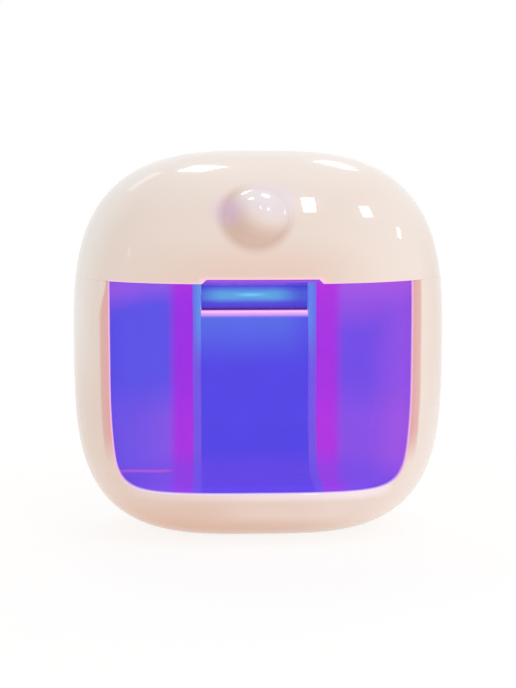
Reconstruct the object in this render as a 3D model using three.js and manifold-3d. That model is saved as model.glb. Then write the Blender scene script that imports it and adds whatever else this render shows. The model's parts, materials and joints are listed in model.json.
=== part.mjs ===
// UV sterilizer for soothers and bottle teats: a rounded box with a hinged hood that holds
// the lamps, a windowed chamber under it, and a push button on the hood.
// Millimetres, +Z up, the front faces -Y, the origin is under the middle of the foot.
import * as THREE from 'three';
import { mergeVertices } from 'three/addons/utils/BufferGeometryUtils.js';
import Module from 'manifold-3d';

const wasm = await Module();
wasm.setup();

// Outer form, a block whose sections are superellipses, squarer in its lower half and cut flat
// under its foot
const width = 98;
const formHeight = 102.4;
const depth = 68;
const footCut = 0.8;
const faceExponent = 3.05;
const lowExponent = 3.4;
const edgeExponent = 2.3;
const centreZ = formHeight / 2 - footCut;
const formTop = formHeight - footCut;

// Walls, and the clearances that every seated piece keeps
const shellWall = 2.4;
const linerWall = 1.6;
const seat = 0.3;
const overrun = 2;
const weld = 0.0001;

// Where the hood parts from the body
const hoodHeight = 32.5;
const partingHeight = formTop - hoodHeight;
const partingGap = 0.5;
const bodyTop = partingHeight - partingGap / 2;
const hoodBottom = partingHeight + partingGap / 2;

// Mouth in the front of the body, with a lip rolled inwards, and the window behind it
const mouthSide = 10.55;
const mouthWidth = width - 2 * mouthSide;
const sillHeight = 14.8;
const mouthExponent = 12;
const lipWidth = 2.8;
const lipDepth = 1.9;
const wrapDepth = 25.5;
const windowWall = 1.6;
const windowOverlap = 2;
const windowInset = shellWall + seat;
const mouthBackY = wrapDepth - depth / 2;

// Chamber liner
const floorHeight = 10.9;
const flankBack = 15;
const flankY = depth / 2 - flankBack;
const channelBack = 8.5;
const channelY = depth / 2 - channelBack;
const channelWidth = 30.8;
const ribWall = 1.9;
const ribReach = 2.9;
const slantWidth = 6.1;
const linerInset = shellWall + seat;
const linerBottom = floorHeight - linerWall;

// Foot pad and the screws above it
const padProud = 0.5;
const padLength = 38;
const padDepth = 16;
const padThickness = 0.9;
const padCeiling = padThickness + seat;
const linerScrewSpacing = 25;
const towerHeight = 3.1;
const towerWall = 1.2;

// Hinge at the back of the hood
const hingeInset = 3.5;
const hingeDrop = 9.45;
const hingeY = depth / 2 - hingeInset;
const hingeZ = partingHeight - hingeDrop;
const barrelRadius = 3;
const tongueWidth = 30.5;
const tongueWall = 2.6;
const pinRadius = 0.8;
const earWidth = 3.2;
const ledgeDrop = 0.75;
const cutOutHalf = tongueWidth / 2 + seat;
const ledgeZ = hingeZ - barrelRadius - ledgeDrop;

// Finger notch in the hood's lower front edge
const notchWidth = 29.9;
const notchSlant = 1.1;
const notchHeight = 0.85;

// Ceiling of the hood, its lamp window and its gasket
const ceilingRise = 1.15;
const ceilingThickness = 2;
const ceilingZ = hoodBottom + ceilingRise;
const ceilingTop = ceilingZ + ceilingThickness;
const gasketThickness = 1;
const gasketWidth = 2;
const gasketInset = linerInset + seat;
const lampY = -2;
const lensDepth = 10;
const lensThickness = 1;
const lensLedge = 2;
const lensFloor = 0.8;
const lensCorner = 2;

// Main board and what stands on it
const boardSide = 25;
const boardFront = 20;
const boardBack = 10;
const boardWidth = width - 2 * boardSide;
const boardFrontY = boardFront - depth / 2;
const boardBackY = depth / 2 - boardBack;
const boardThickness = 1.2;
const boardLift = 2.2;
const boardCorner = 2;
const wingSide = 12;
const wingReach = width / 2 - wingSide;
const wingDepth = 10;
const wingGap = 1.2;
const postRadius = 2.2;
const postInset = 4.5;
const boardZ = ceilingTop + boardLift + seat;
const boardTop = boardZ + boardThickness;
const ledSize = 3.5;
const ledHeight = 1.2;
const ledCount = 4;
const ledInset = 10.5;
const ledSpacing = (boardWidth - 2 * ledInset) / (ledCount - 1);
const lensSide = 5;
const lensLength = boardWidth - 2 * lensSide;
const sensorSize = 3;
const sensorHeight = 1;
const usbWidth = 9;
const usbHeight = 3.2;
const usbLength = 7.3;
const usbOverhang = 4.4;
const usbWall = 0.35;
const usbTongue = 0.7;
const usbTongueInset = 1.2;
const padFoam = 0.8;
const cellSide = 9;
const cellFront = 7;
const cellBack = 11;
const cellLength = boardWidth - 2 * cellSide;
const cellDepth = boardBackY - boardFrontY - cellFront - cellBack;
const cellHeight = 5.5;
const cellCorner = 1.5;
const cellY = boardFrontY + cellFront + cellDepth / 2;

// Magnets that hold the hood shut
const magnetRadius = 1.5;
const magnetHeight = 2;
const magnetInset = 1.8;
const magnetY = -3;
const magnetBossRadius = 2.2;
const magnetBossHeight = 6.5;
const magnetFloor = 0.5;

// Power button, set square to the hood's front slope
const buttonX = -1.4;
const buttonHeight = 16.7;
const buttonZ = partingHeight + buttonHeight;
const buttonRadius = 7.9;
const buttonRise = 3;
const buttonTravel = 0.8;
const buttonWall = 1.6;
const flangeWidth = 1.3;
const flangeDepth = 4;
const flangeThickness = 1;
const stemRadius = 1.5;
const stemLength = 1.4;
const plungerRadius = 1.6;
const plungerLength = 2.7;
const plungerSink = 1.4;
const plungerFloor = 0.4;
const switchSize = 6;
const switchHeight = plungerSink + buttonTravel + seat + plungerFloor;
const switchBoardWidth = 29;
const switchBoardHeight = 12;
const switchBoardThickness = 1;
const switchScrewX = 12.2;
const switchPostRadius = 1.9;
const statusLedSize = 2;
const statusLedHeight = 0.8;
const statusLedX = -6;

// Screws, and the threads' own columns
const screwShank = 0.9;
const screwHead = 1.9;
const screwHeadHeight = 0.9;
const screwSocket = 0.8;
const screwSocketDepth = 0.5;
const screwTip = 0.6;
const columnRadius = 2.8;
const columnFrontSide = 13.5;
const columnFront = 22;
const columnBackSide = 16.5;
const columnBack = 19;
const columnFrontX = width / 2 - columnFrontSide;
const columnFrontY = columnFront - depth / 2;
const columnBackX = width / 2 - columnBackSide;
const columnBackY = depth / 2 - columnBack;
const wingY = columnFrontY + columnRadius + wingGap + wingDepth / 2;
const threadDepth = 5;
const shortThread = 2.2;

// Leads between the boards and the cell
const leadRadius = 0.7;
const leadBend = 3;
const leadY = 3;
const leadSide = 4;

// How finely the rounded pieces are stepped
const ballSides = 44;
const ballRings = 20;
const roundSides = 16;
const smallSides = 10;
const lipSteps = 4;
const domeSteps = 8;
const fallPasses = 12;
const leadSteps = 8;
const sideShares = [0, 0.2, 0.4, 0.58];
const cornerTurns = [0.07, 0.13, 0.2, 0.28, 0.36, 0.43, 0.5, 0.57, 0.64, 0.72, 0.8, 0.87];
const sillShares = [0.62, 0.42, 0.21, 0];

const finish = (color, roughness, metalness = 0, more = {}) =>
  new THREE.MeshStandardMaterial({ color, roughness, metalness, ...more });
const finishes = {
  shell: finish(0xe8d3c6, 0.22),
  liner: finish(0x5a50b4, 0.35),
  window: finish(0xb9a8f0, 0.05, 0, { transparent: true, opacity: 0.25 }),
  ceiling: finish(0xded6ea, 0.4),
  rubber: finish(0xcfc6cc, 0.8),
  steel: finish(0xc4c6ca, 0.3, 1),
  magnet: finish(0x9a9ca2, 0.35, 1),
  board: finish(0x1f6a46, 0.5),
  black: finish(0x202226, 0.45),
  lamp: finish(0xf2ecc8, 0.3),
  quartz: finish(0xdfe6f2, 0.04, 0, { transparent: true, opacity: 0.4 }),
  cell: finish(0x6c7fae, 0.35, 0.4),
  foam: finish(0x3c3d42, 0.95),
  lead: finish(0xb3262a, 0.5),
};

// A closed geometry as a solid whose faces point outwards.
function solid(geometry) {
  const bare = geometry.clone();
  bare.deleteAttribute('normal');
  bare.deleteAttribute('uv');
  const merged = mergeVertices(bare, weld);
  const points = merged.attributes.position.array;
  const faces = [];
  const order = merged.index.array;
  for (let i = 0; i < order.length; i += 3) {
    const [a, b, c] = order.slice(i, i + 3);
    if (a !== b && b !== c && c !== a) faces.push(a, b, c);
  }
  const corner = (index) => new THREE.Vector3().fromArray(points, index * 3);
  let volume = 0;
  for (let i = 0; i < faces.length; i += 3) {
    const [a, b, c] = faces.slice(i, i + 3).map(corner);
    volume += a.dot(b.cross(c));
  }
  if (volume < 0) faces.reverse();
  return new wasm.Manifold(new wasm.Mesh({
    numProp: 3,
    vertProperties: new Float32Array(points),
    triVerts: new Uint32Array(faces),
  }));
}

function piece(name, body, material) {
  const { vertProperties, triVerts } = body.getMesh();
  const geometry = new THREE.BufferGeometry();
  geometry.setAttribute('position', new THREE.BufferAttribute(vertProperties.slice(), 3));
  geometry.setIndex(new THREE.BufferAttribute(triVerts.slice(), 1));
  geometry.computeVertexNormals();
  const mesh = new THREE.Mesh(geometry, material);
  mesh.name = name;
  return mesh;
}

// Basic solids. A block is given by its two far corners.
function block([x0, y0, z0], [x1, y1, z1]) {
  const box = new THREE.BoxGeometry(x1 - x0, y1 - y0, z1 - z0);
  return solid(box.translate((x0 + x1) / 2, (y0 + y1) / 2, (z0 + z1) / 2));
}

function rod(radius, z0, z1, x = 0, y = 0, sides = smallSides) {
  const cylinder = new THREE.CylinderGeometry(radius, radius, z1 - z0, sides);
  return solid(cylinder.rotateX(Math.PI / 2).translate(x, y, (z0 + z1) / 2));
}

function rodAcross(radius, x0, x1, sides = smallSides) {
  const cylinder = new THREE.CylinderGeometry(radius, radius, x1 - x0, sides);
  return solid(cylinder.rotateZ(Math.PI / 2).translate((x0 + x1) / 2, hingeY, hingeZ));
}

// A flat outline in X and Y raised from z0 to z1.
function raised(points, z0, z1) {
  const shape = new THREE.Shape(points);
  return solid(new THREE.ExtrudeGeometry(shape, { depth: z1 - z0, bevelEnabled: false })
    .translate(0, 0, z0));
}

// A flat outline in X and Z pushed from y0 back to y1.
function pushed(points, y0, y1) {
  const shape = new THREE.Shape(points);
  return solid(new THREE.ExtrudeGeometry(shape, { depth: y1 - y0, bevelEnabled: false })
    .rotateX(Math.PI / 2).translate(0, y1, 0));
}

function ellipse(halfX, halfY, sides = 2 * roundSides) {
  const points = new THREE.EllipseCurve(0, 0, halfX, halfY).getPoints(sides);
  return points.slice(0, sides);
}

function roundedOutline(x0, y0, x1, y1, radius) {
  const shape = new THREE.Shape();
  shape.absarc(x1 - radius, y1 - radius, radius, 0, Math.PI / 2);
  shape.absarc(x0 + radius, y1 - radius, radius, Math.PI / 2, Math.PI);
  shape.absarc(x0 + radius, y0 + radius, radius, Math.PI, 1.5 * Math.PI);
  shape.absarc(x1 - radius, y0 + radius, radius, 1.5 * Math.PI, 2 * Math.PI);
  shape.closePath();
  return shape.getPoints(4).slice(0, -1);
}

// The outer form drawn in by an inset.
const halves = (inset) => [width / 2 - inset, depth / 2 - inset, formHeight / 2 - inset];

const exponentAt = (z) => (z < centreZ ? lowExponent : faceExponent);

function formLevel(x, y, z, inset) {
  const [a, c, b] = halves(inset);
  const exponent = exponentAt(z);
  const face = Math.abs(x / a) ** exponent + Math.abs((z - centreZ) / b) ** exponent;
  const whole = face ** (edgeExponent / exponent) + Math.abs(y / c) ** edgeExponent;
  return whole ** (1 / edgeExponent);
}

function form(inset) {
  const [a, c, b] = halves(inset);
  const ball = new THREE.SphereGeometry(1, ballSides, ballRings);
  const place = ball.attributes.position;
  for (let i = 0; i < place.count; i++) {
    const [x, y, z] = [place.getX(i) * a, place.getY(i) * c, place.getZ(i) * b];
    const level = formLevel(x, y, z + centreZ, inset);
    place.setXYZ(i, x / level, y / level, z / level + centreZ);
  }
  return solid(ball);
}

function formBetween(inset, z0, z1) {
  return form(inset).intersect(block([-width, -depth, z0], [width, depth, z1]));
}

// How far forward the form's front lies at a point of its face.
function frontY(x, z, inset) {
  const [a, c, b] = halves(inset);
  const exponent = exponentAt(z);
  const face = Math.abs(x / a) ** exponent + Math.abs((z - centreZ) / b) ** exponent;
  return -c * (1 - face ** (edgeExponent / exponent)) ** (1 / edgeExponent);
}

// How far out the form's side lies at a height of its middle section.
function sideX(z, inset) {
  const [a, , b] = halves(inset);
  const exponent = exponentAt(z);
  return a * (1 - Math.abs((z - centreZ) / b) ** exponent) ** (1 / exponent);
}

const magnetX = sideX(bodyTop, linerInset + linerWall) - magnetInset;

// Outline of the mouth in X and Z, grown by a margin, run up past the parting line.
function mouthOutline(grow) {
  const halfWidth = mouthWidth / 2 + grow;
  const drop = partingHeight - sillHeight + grow;
  const reach = (share) => (1 - share ** mouthExponent) ** (1 / mouthExponent);
  const half = [
    ...sideShares.map((share) => [reach(share), share]),
    ...cornerTurns.map((turn) => [
      Math.cos(turn * Math.PI / 2) ** (2 / mouthExponent),
      Math.sin(turn * Math.PI / 2) ** (2 / mouthExponent),
    ]),
    ...sillShares.map((share) => [share, reach(share)]),
  ];
  const left = half.map(([x, z]) => new THREE.Vector2(-x * halfWidth, partingHeight - z * drop));
  const right = left.slice(0, -1).reverse().map((point) => new THREE.Vector2(-point.x, point.y));
  const top = partingHeight + overrun + windowOverlap;
  return [
    new THREE.Vector2(halfWidth, top), new THREE.Vector2(-halfWidth, top), ...left, ...right,
  ];
}

// A closed body through rings of equal count, each seen anticlockwise from the front.
function loft(rings) {
  const count = rings[0].length;
  const positions = rings.flat().flatMap((point) => point.toArray());
  const index = [];
  for (let ring = 0; ring < rings.length - 1; ring++) {
    for (let i = 0; i < count; i++) {
      const [a, b] = [ring * count + i, ring * count + (i + 1) % count];
      index.push(a, a + count, b + count, a, b + count, b);
    }
  }
  const cap = (ring) => THREE.ShapeUtils.triangulateShape(
    rings[ring].map((point) => new THREE.Vector2(point.x, point.z)), [],
  ).map((face) => face.map((i) => i + ring * count));
  index.push(...cap(0).flat(), ...cap(rings.length - 1).flatMap((face) => face.reverse()));
  const geometry = new THREE.BufferGeometry();
  geometry.setAttribute('position', new THREE.Float32BufferAttribute(positions, 3));
  geometry.setIndex(index);
  return solid(geometry);
}

// What the mouth takes out of the wall: a rounded lip that leads in to a straight edge.
function mouthCutter() {
  const ring = (grow, y) => mouthOutline(grow).map(
    (point) => new THREE.Vector3(point.x, y(point), point.y),
  );
  const rings = [ring(lipWidth, () => -depth / 2 - overrun)];
  for (let step = 0; step <= lipSteps; step++) {
    const turn = step / lipSteps * Math.PI / 2;
    const inwards = lipDepth * (1 - Math.cos(turn));
    rings.push(ring(lipWidth * (1 - Math.sin(turn)), ({ x, y: z }) => frontY(x, z, 0) + inwards));
  }
  rings.push(ring(0, () => mouthBackY));
  return loft(rings);
}

const windowCutter = (grow) => pushed(mouthOutline(grow), -depth, mouthBackY);

// A screw with its head down at z 0 and its shank upwards.
function screw(name, shankLength) {
  const profile = [
    [0, screwSocketDepth], [screwSocket, screwSocketDepth], [screwSocket, 0], [screwHead, 0],
    [screwHead, screwHeadHeight], [screwShank, screwHeadHeight],
    [screwShank, screwHeadHeight + shankLength - screwTip], [0, screwHeadHeight + shankLength],
  ].map(([radius, z]) => new THREE.Vector2(radius, z));
  const lathe = new THREE.LatheGeometry(profile, smallSides).rotateX(Math.PI / 2);
  return piece(name, solid(lathe), finishes.steel);
}

const sides = { left: -1, right: 1 };
const columnPlaces = [
  [-columnFrontX, columnFrontY], [columnFrontX, columnFrontY],
  [-columnBackX, columnBackY], [columnBackX, columnBackY],
];
const postPlaces = [-1, 1].flatMap((side) => [
  [side * (boardWidth / 2 - postInset), boardFrontY + postInset],
  [side * (boardWidth / 2 - postInset), boardBackY - postInset],
]);
const shankHole = screwShank + seat;
const headHole = screwHead + seat;

// Body
const towerTop = padProud + shellWall + towerHeight;
const linerScrewZ = towerTop - towerWall - seat - screwHeadHeight;

function hingeEar(side) {
  const inner = cutOutHalf;
  const outer = inner + earWidth;
  const span = [side * inner, side * outer].sort((a, b) => a - b);
  const root = block([span[0], hingeY, hingeZ - barrelRadius],
    [span[1], depth / 2, hingeZ + barrelRadius]);
  return rodAcross(barrelRadius, ...span, roundSides).add(root).intersect(form(0));
}

function bodyShell() {
  const foot = padProud + shellWall;
  let shell = formBetween(0, padProud, bodyTop)
    .subtract(formBetween(shellWall, foot, bodyTop + overrun))
    .subtract(mouthCutter())
    .subtract(block([-cutOutHalf, hingeY - barrelRadius - overrun, ledgeZ],
      [cutOutHalf, depth / 2 + overrun, bodyTop + overrun]));
  for (const side of Object.values(sides)) {
    const x = side * linerScrewSpacing / 2;
    shell = shell.add(hingeEar(side))
      .add(rod(headHole + towerWall, foot - seat, towerTop, x, 0, roundSides))
      .subtract(rod(headHole, padProud, towerTop - towerWall, x, 0))
      .subtract(rod(shankHole, padProud, towerTop + overrun, x, 0));
  }
  const earReach = cutOutHalf + earWidth;
  return shell
    .subtract(rodAcross(pinRadius + seat, -earReach, earReach))
    .subtract(raised(ellipse(padLength / 2 + seat, padDepth / 2 + seat), -overrun, padCeiling));
}

// Half of the chamber's back wall, from the middle outwards, drawn back by a wall.
function backWall(back) {
  const inner = channelWidth / 2;
  const outer = inner + ribWall;
  const rib = back ? [] : [
    [inner, channelY], [inner, channelY - ribReach], [outer, channelY - ribReach],
  ];
  const slant = back * Math.tan(Math.PI / 8);
  const half = [...rib, [outer + slant, channelY + back], [outer + slantWidth + slant, flankY + back],
    [width, flankY + back]];
  const front = [[width, -depth], [-width, -depth]];
  const mirrored = half.map(([x, y]) => [-x, y]).reverse();
  return [...front, ...mirrored, ...half].map(([x, y]) => new THREE.Vector2(x, y));
}

function chamberLiner() {
  const outside = form(linerInset).intersect(raised(backWall(linerWall), linerBottom, bodyTop));
  const inside = form(linerInset + linerWall)
    .intersect(raised(backWall(0), floorHeight, bodyTop + overrun));
  const behind = channelY + linerWall;
  const hingeWindow = block([-channelWidth / 2, channelY - seat, ledgeZ],
    [channelWidth / 2, behind + overrun, bodyTop + overrun]);
  const ledge = form(linerInset).intersect(block(
    [-channelWidth / 2, channelY, ledgeZ - linerWall], [channelWidth / 2, depth / 2, ledgeZ]));
  let liner = outside.subtract(inside).subtract(windowCutter(windowOverlap + seat))
    .subtract(hingeWindow).add(ledge);
  for (const side of Object.values(sides)) {
    const boss = rod(magnetBossRadius, bodyTop - magnetBossHeight, bodyTop, side * magnetX, magnetY,
      roundSides).intersect(form(linerInset));
    const pocket = magnetHeight + 2 * seat;
    liner = liner.add(boss)
      .subtract(rod(magnetRadius + seat, bodyTop - pocket, bodyTop + overrun, side * magnetX, magnetY));
    const x = side * linerScrewSpacing / 2;
    liner = liner.add(rod(columnRadius, towerTop + seat, linerBottom + seat, x, 0, roundSides))
      .subtract(rod(shankHole, towerTop - overrun, floorHeight - linerWall / 2, x, 0));
  }
  return liner;
}

function frontWindow() {
  return form(windowInset).subtract(form(windowInset + windowWall))
    .intersect(windowCutter(windowOverlap))
    .intersect(block([-width, -depth, 0], [width, depth, bodyTop]));
}

function bodyGroup() {
  const group = new THREE.Group();
  const reach = cutOutHalf + earWidth - seat;
  group.add(
    piece('body_shell', bodyShell(), finishes.shell),
    piece('chamber_liner', chamberLiner(), finishes.liner),
    piece('front_window', frontWindow(), finishes.window),
    piece('hinge_pin', rodAcross(pinRadius, -reach, reach), finishes.steel),
    piece('base_pad', raised(ellipse(padLength / 2, padDepth / 2), 0, padThickness), finishes.rubber),
  );
  const shankLength = floorHeight - linerWall / 2 - seat - linerScrewZ - screwHeadHeight;
  for (const [name, side] of Object.entries(sides)) {
    const magnetTop = bodyTop - seat;
    group.add(piece(`body_magnet_${name}`,
      rod(magnetRadius, magnetTop - magnetHeight, magnetTop, side * magnetX, magnetY), finishes.magnet));
    const fastener = screw(`liner_screw_${name}`, shankLength);
    fastener.position.set(side * linerScrewSpacing / 2, 0, linerScrewZ);
    group.add(fastener);
  }
  return group;
}

// The button's own frame: X across, Z out of the hood, its origin on the hood's surface.
const buttonY = frontY(buttonX, buttonZ, 0);
const buttonTilt = (() => {
  const [a, c, b] = halves(0);
  const [x, y, z] = [Math.abs(buttonX) / a, -buttonY / c, (buttonZ - centreZ) / b];
  const face = (x ** faceExponent + z ** faceExponent) ** (edgeExponent / faceExponent - 1);
  const up = face * z ** (faceExponent - 1) / b;
  return Math.atan2(up, y ** (edgeExponent - 1) / c);
})();

function toHood(body) {
  const turn = new THREE.Matrix4().makeRotationX(Math.PI / 2 - buttonTilt);
  return body.transform(turn.setPosition(buttonX, buttonY, buttonZ).elements);
}

// How far the hood's surface falls below the button frame's plane at a place in it.
function surfaceFall(x, y) {
  const place = new THREE.Vector3();
  let fall = 0;
  for (let pass = 0; pass < fallPasses; pass++) {
    place.set(x, y, -fall).applyAxisAngle(new THREE.Vector3(1, 0, 0), Math.PI / 2 - buttonTilt);
    place.add(new THREE.Vector3(buttonX, buttonY, buttonZ));
    fall += (formLevel(place.x, place.y, place.z, 0) - 1) * depth / 2;
  }
  return fall;
}

const stemEnd = flangeDepth + flangeThickness + stemLength;
const plungerTop = stemEnd + seat;
const plungerEnd = plungerTop + plungerLength;
const switchTop = plungerEnd - plungerSink;
const switchEnd = switchTop + switchHeight;
const switchBoardTop = switchEnd + seat;
const switchBoardEnd = switchBoardTop + switchBoardThickness;

function powerButton() {
  const flange = buttonRadius + flangeWidth;
  const bore = buttonRadius - buttonWall;
  const profile = [];
  for (let step = 0; step <= domeSteps; step++) {
    const share = step / domeSteps;
    profile.push([buttonRadius * share, buttonRise * (1 + Math.cos(Math.PI * share)) / 2]);
  }
  const skirt = [
    [buttonRadius, -flangeDepth], [flange, -flangeDepth], [flange, -flangeDepth - flangeThickness],
    [bore, -flangeDepth - flangeThickness], [bore, -buttonWall], [stemRadius, -buttonWall],
    [stemRadius, -stemEnd], [0, -stemEnd],
  ];
  const outline = [...profile, ...skirt].map(([radius, z]) => new THREE.Vector2(radius, z));
  const lathe = new THREE.LatheGeometry(outline, 2 * roundSides).rotateX(Math.PI / 2);
  const place = lathe.attributes.position;
  for (let i = 0; i < place.count; i++) {
    const [x, y, z] = [place.getX(i), place.getY(i), place.getZ(i)];
    if (z > -weld) place.setZ(i, z - surfaceFall(x, y));
  }
  return solid(lathe);
}

function buttonGroup() {
  const group = new THREE.Group();
  group.position.set(buttonX, buttonY, buttonZ);
  group.rotation.x = Math.PI / 2 - buttonTilt;
  group.add(
    piece('power_button', powerButton(), finishes.shell),
    piece('switch_plunger', rod(plungerRadius, -plungerEnd, -plungerTop), finishes.black),
  );
  return group;
}

// The switch and its board lie behind the button, square to it.
function switchGroup() {
  const group = new THREE.Group();
  group.position.set(buttonX, buttonY, buttonZ);
  group.rotation.x = Math.PI / 2 - buttonTilt;
  const half = switchSize / 2;
  const well = rod(plungerRadius + seat, -switchEnd + plungerFloor, -switchTop + overrun);
  const housing = block([-half, -half, -switchEnd], [half, half, -switchTop]).subtract(well);
  const [halfX, halfY] = [switchBoardWidth / 2, switchBoardHeight / 2];
  let board = block([-halfX, -halfY, -switchBoardEnd], [halfX, halfY, -switchBoardTop]);
  const ledHalf = statusLedSize / 2;
  const ledZ = seat - switchBoardTop;
  for (const side of Object.values(sides)) {
    board = board.subtract(
      rod(shankHole, -switchBoardEnd - overrun, overrun - switchBoardTop, side * switchScrewX, 0));
  }
  group.add(
    piece('tact_switch', housing, finishes.black),
    piece('switch_board', board, finishes.board),
    piece('status_led', block([statusLedX - ledHalf, -ledHalf, ledZ],
      [statusLedX + ledHalf, ledHalf, ledZ + statusLedHeight]), finishes.lamp),
  );
  for (const [name, side] of Object.entries(sides)) {
    const fastener = screw(`switch_screw_${name}`, switchBoardThickness + seat + shortThread);
    fastener.position.set(side * switchScrewX, 0, -switchBoardEnd - seat - screwHeadHeight);
    group.add(fastener);
  }
  return group;
}

// Hood
function hingeTongue() {
  const skin = form(0).subtract(form(tongueWall))
    .intersect(block([-tongueWidth / 2, 0, hingeZ],
      [tongueWidth / 2, depth, hoodBottom + shellWall]));
  const barrel = rodAcross(barrelRadius, -tongueWidth / 2, tongueWidth / 2, roundSides);
  return skin.add(barrel.intersect(form(0)));
}

function fingerNotch() {
  const [low, high] = [notchWidth / 2, notchWidth / 2 - notchSlant];
  const top = hoodBottom + notchHeight;
  const run = overrun * notchSlant / notchHeight;
  const outline = [[high, top], [-high, top], [-low - run, hoodBottom - overrun],
    [low + run, hoodBottom - overrun]];
  return pushed(outline.map(([x, z]) => new THREE.Vector2(x, z)), -depth, -depth / 4);
}

const usbZ = boardTop + seat;

function usbOutline(margin) {
  const [halfX, radius] = [usbWidth / 2 + margin, usbHeight / 2 + margin];
  return roundedOutline(-halfX, usbZ - margin, halfX, usbZ + usbHeight + margin, radius);
}

function hoodShell() {
  let shell = formBetween(0, hoodBottom, formHeight)
    .subtract(formBetween(shellWall, hoodBottom - overrun, formHeight))
    .add(hingeTongue())
    .subtract(rodAcross(pinRadius + seat, -tongueWidth, tongueWidth))
    .subtract(fingerNotch())
    .subtract(pushed(usbOutline(seat), boardBackY, depth));
  const inside = form(shellWall / 2);
  for (const [x, y] of columnPlaces) {
    const foot = ceilingTop + seat;
    const column = rod(columnRadius, foot, formHeight, x, y, roundSides).intersect(inside);
    shell = shell.add(column).subtract(rod(shankHole, foot - overrun, foot + threadDepth, x, y));
  }
  for (const side of Object.values(sides)) {
    const end = -switchEnd;
    const post = toHood(rod(switchPostRadius, end, 0, side * switchScrewX, 0)).intersect(inside);
    shell = shell.add(post).subtract(
      toHood(rod(shankHole, end - overrun, end + shortThread + seat, side * switchScrewX, 0)));
  }
  return shell.subtract(toHood(rod(buttonRadius + seat, -flangeDepth, buttonRise + overrun, 0, 0,
    2 * roundSides)));
}

function hoodCeiling() {
  const [halfX, halfY] = [lensLength / 2, lensDepth / 2];
  const recess = (margin, corner) => roundedOutline(
    -halfX - margin, lampY - halfY - margin, halfX + margin, lampY + halfY + margin, corner);
  let plate = formBetween(shellWall + seat, ceilingZ, ceilingTop)
    .subtract(raised(recess(seat, lensCorner), ceilingZ + lensFloor, ceilingTop + overrun))
    .subtract(raised(recess(-lensLedge, lensCorner / 2), ceilingZ - overrun, ceilingTop + overrun));
  for (const [x, y] of columnPlaces) {
    plate = plate
      .subtract(rod(headHole, ceilingZ - overrun, ceilingZ + screwHeadHeight + seat, x, y))
      .subtract(rod(shankHole, ceilingZ - overrun, ceilingTop + overrun, x, y));
  }
  for (const [x, y] of postPlaces) {
    const top = ceilingTop + boardLift;
    plate = plate.add(rod(postRadius, ceilingTop - seat, top, x, y, roundSides))
      .subtract(rod(shankHole, top - shortThread - seat, top + overrun, x, y));
  }
  for (const side of Object.values(sides)) {
    const [x, y, top] = [side * magnetX, magnetY, ceilingZ + magnetFloor + seat + magnetHeight];
    plate = plate
      .add(rod(magnetBossRadius, ceilingTop - seat, top, x, y, roundSides)
        .intersect(form(shellWall + seat)))
      .subtract(rod(magnetRadius + seat, ceilingZ + magnetFloor, top + overrun, x, y));
  }
  return plate;
}

function mainBoard() {
  const half = boardWidth / 2;
  const wing = wingDepth / 2;
  const outline = roundedOutline(-half, boardFrontY, half, boardBackY, boardCorner);
  let board = raised(outline, boardZ, boardTop)
    .add(block([0, wingY - wing, boardZ], [wingReach, wingY + wing, boardTop]));
  for (const [x, y] of postPlaces) {
    board = board.subtract(rod(shankHole, boardZ - overrun, boardTop + overrun, x, y));
  }
  return board;
}

function usbSocket() {
  const mouthY = boardBackY + usbOverhang;
  const backY = mouthY - usbLength;
  const [halfX, middle] = [usbWidth / 2, usbZ + usbHeight / 2];
  const shell = pushed(usbOutline(0), backY, mouthY)
    .subtract(pushed(usbOutline(-usbWall), backY + 2 * usbWall, mouthY + overrun));
  return shell.add(block([-halfX + usbTongueInset, backY, middle - usbTongue / 2],
    [halfX - usbTongueInset, mouthY - 2 * usbWall, middle + usbTongue / 2]));
}

// A lead of even section along a curve through its points.
function lead(name, points) {
  const path = new THREE.CatmullRomCurve3(points.map((point) => new THREE.Vector3(...point)));
  const section = new THREE.Shape(ellipse(leadRadius, leadRadius, smallSides));
  const tube = new THREE.ExtrudeGeometry(section, { steps: leadSteps, extrudePath: path });
  return piece(name, solid(tube), finishes.lead);
}

const cellZ = boardTop + seat + padFoam + seat;

function leads() {
  const cellEnd = cellLength / 2 + seat;
  const outlet = cellZ + cellHeight / 2;
  const landing = boardTop + seat;
  const start = new THREE.Vector3(leadSide, leadSide, -switchBoardEnd - seat)
    .applyAxisAngle(new THREE.Vector3(1, 0, 0), Math.PI / 2 - buttonTilt)
    .add(new THREE.Vector3(buttonX, buttonY, buttonZ));
  const away = new THREE.Vector3(0, Math.cos(buttonTilt), -Math.sin(buttonTilt));
  const bow = start.clone().addScaledVector(away, leadBend / 2);
  const landingY = boardFrontY + leadBend;
  return [
    lead('battery_lead', [
      [cellEnd, leadY, outlet], [cellEnd + leadBend / 2, leadY, outlet],
      [cellEnd + leadBend, leadY, outlet - leadBend / 2], [cellEnd + leadBend, leadY, landing],
    ]),
    lead('switch_lead', [
      start.toArray(), bow.toArray(),
      [start.x, landingY, (landing + bow.z) / 2], [start.x, landingY, landing],
    ]),
  ];
}

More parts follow.
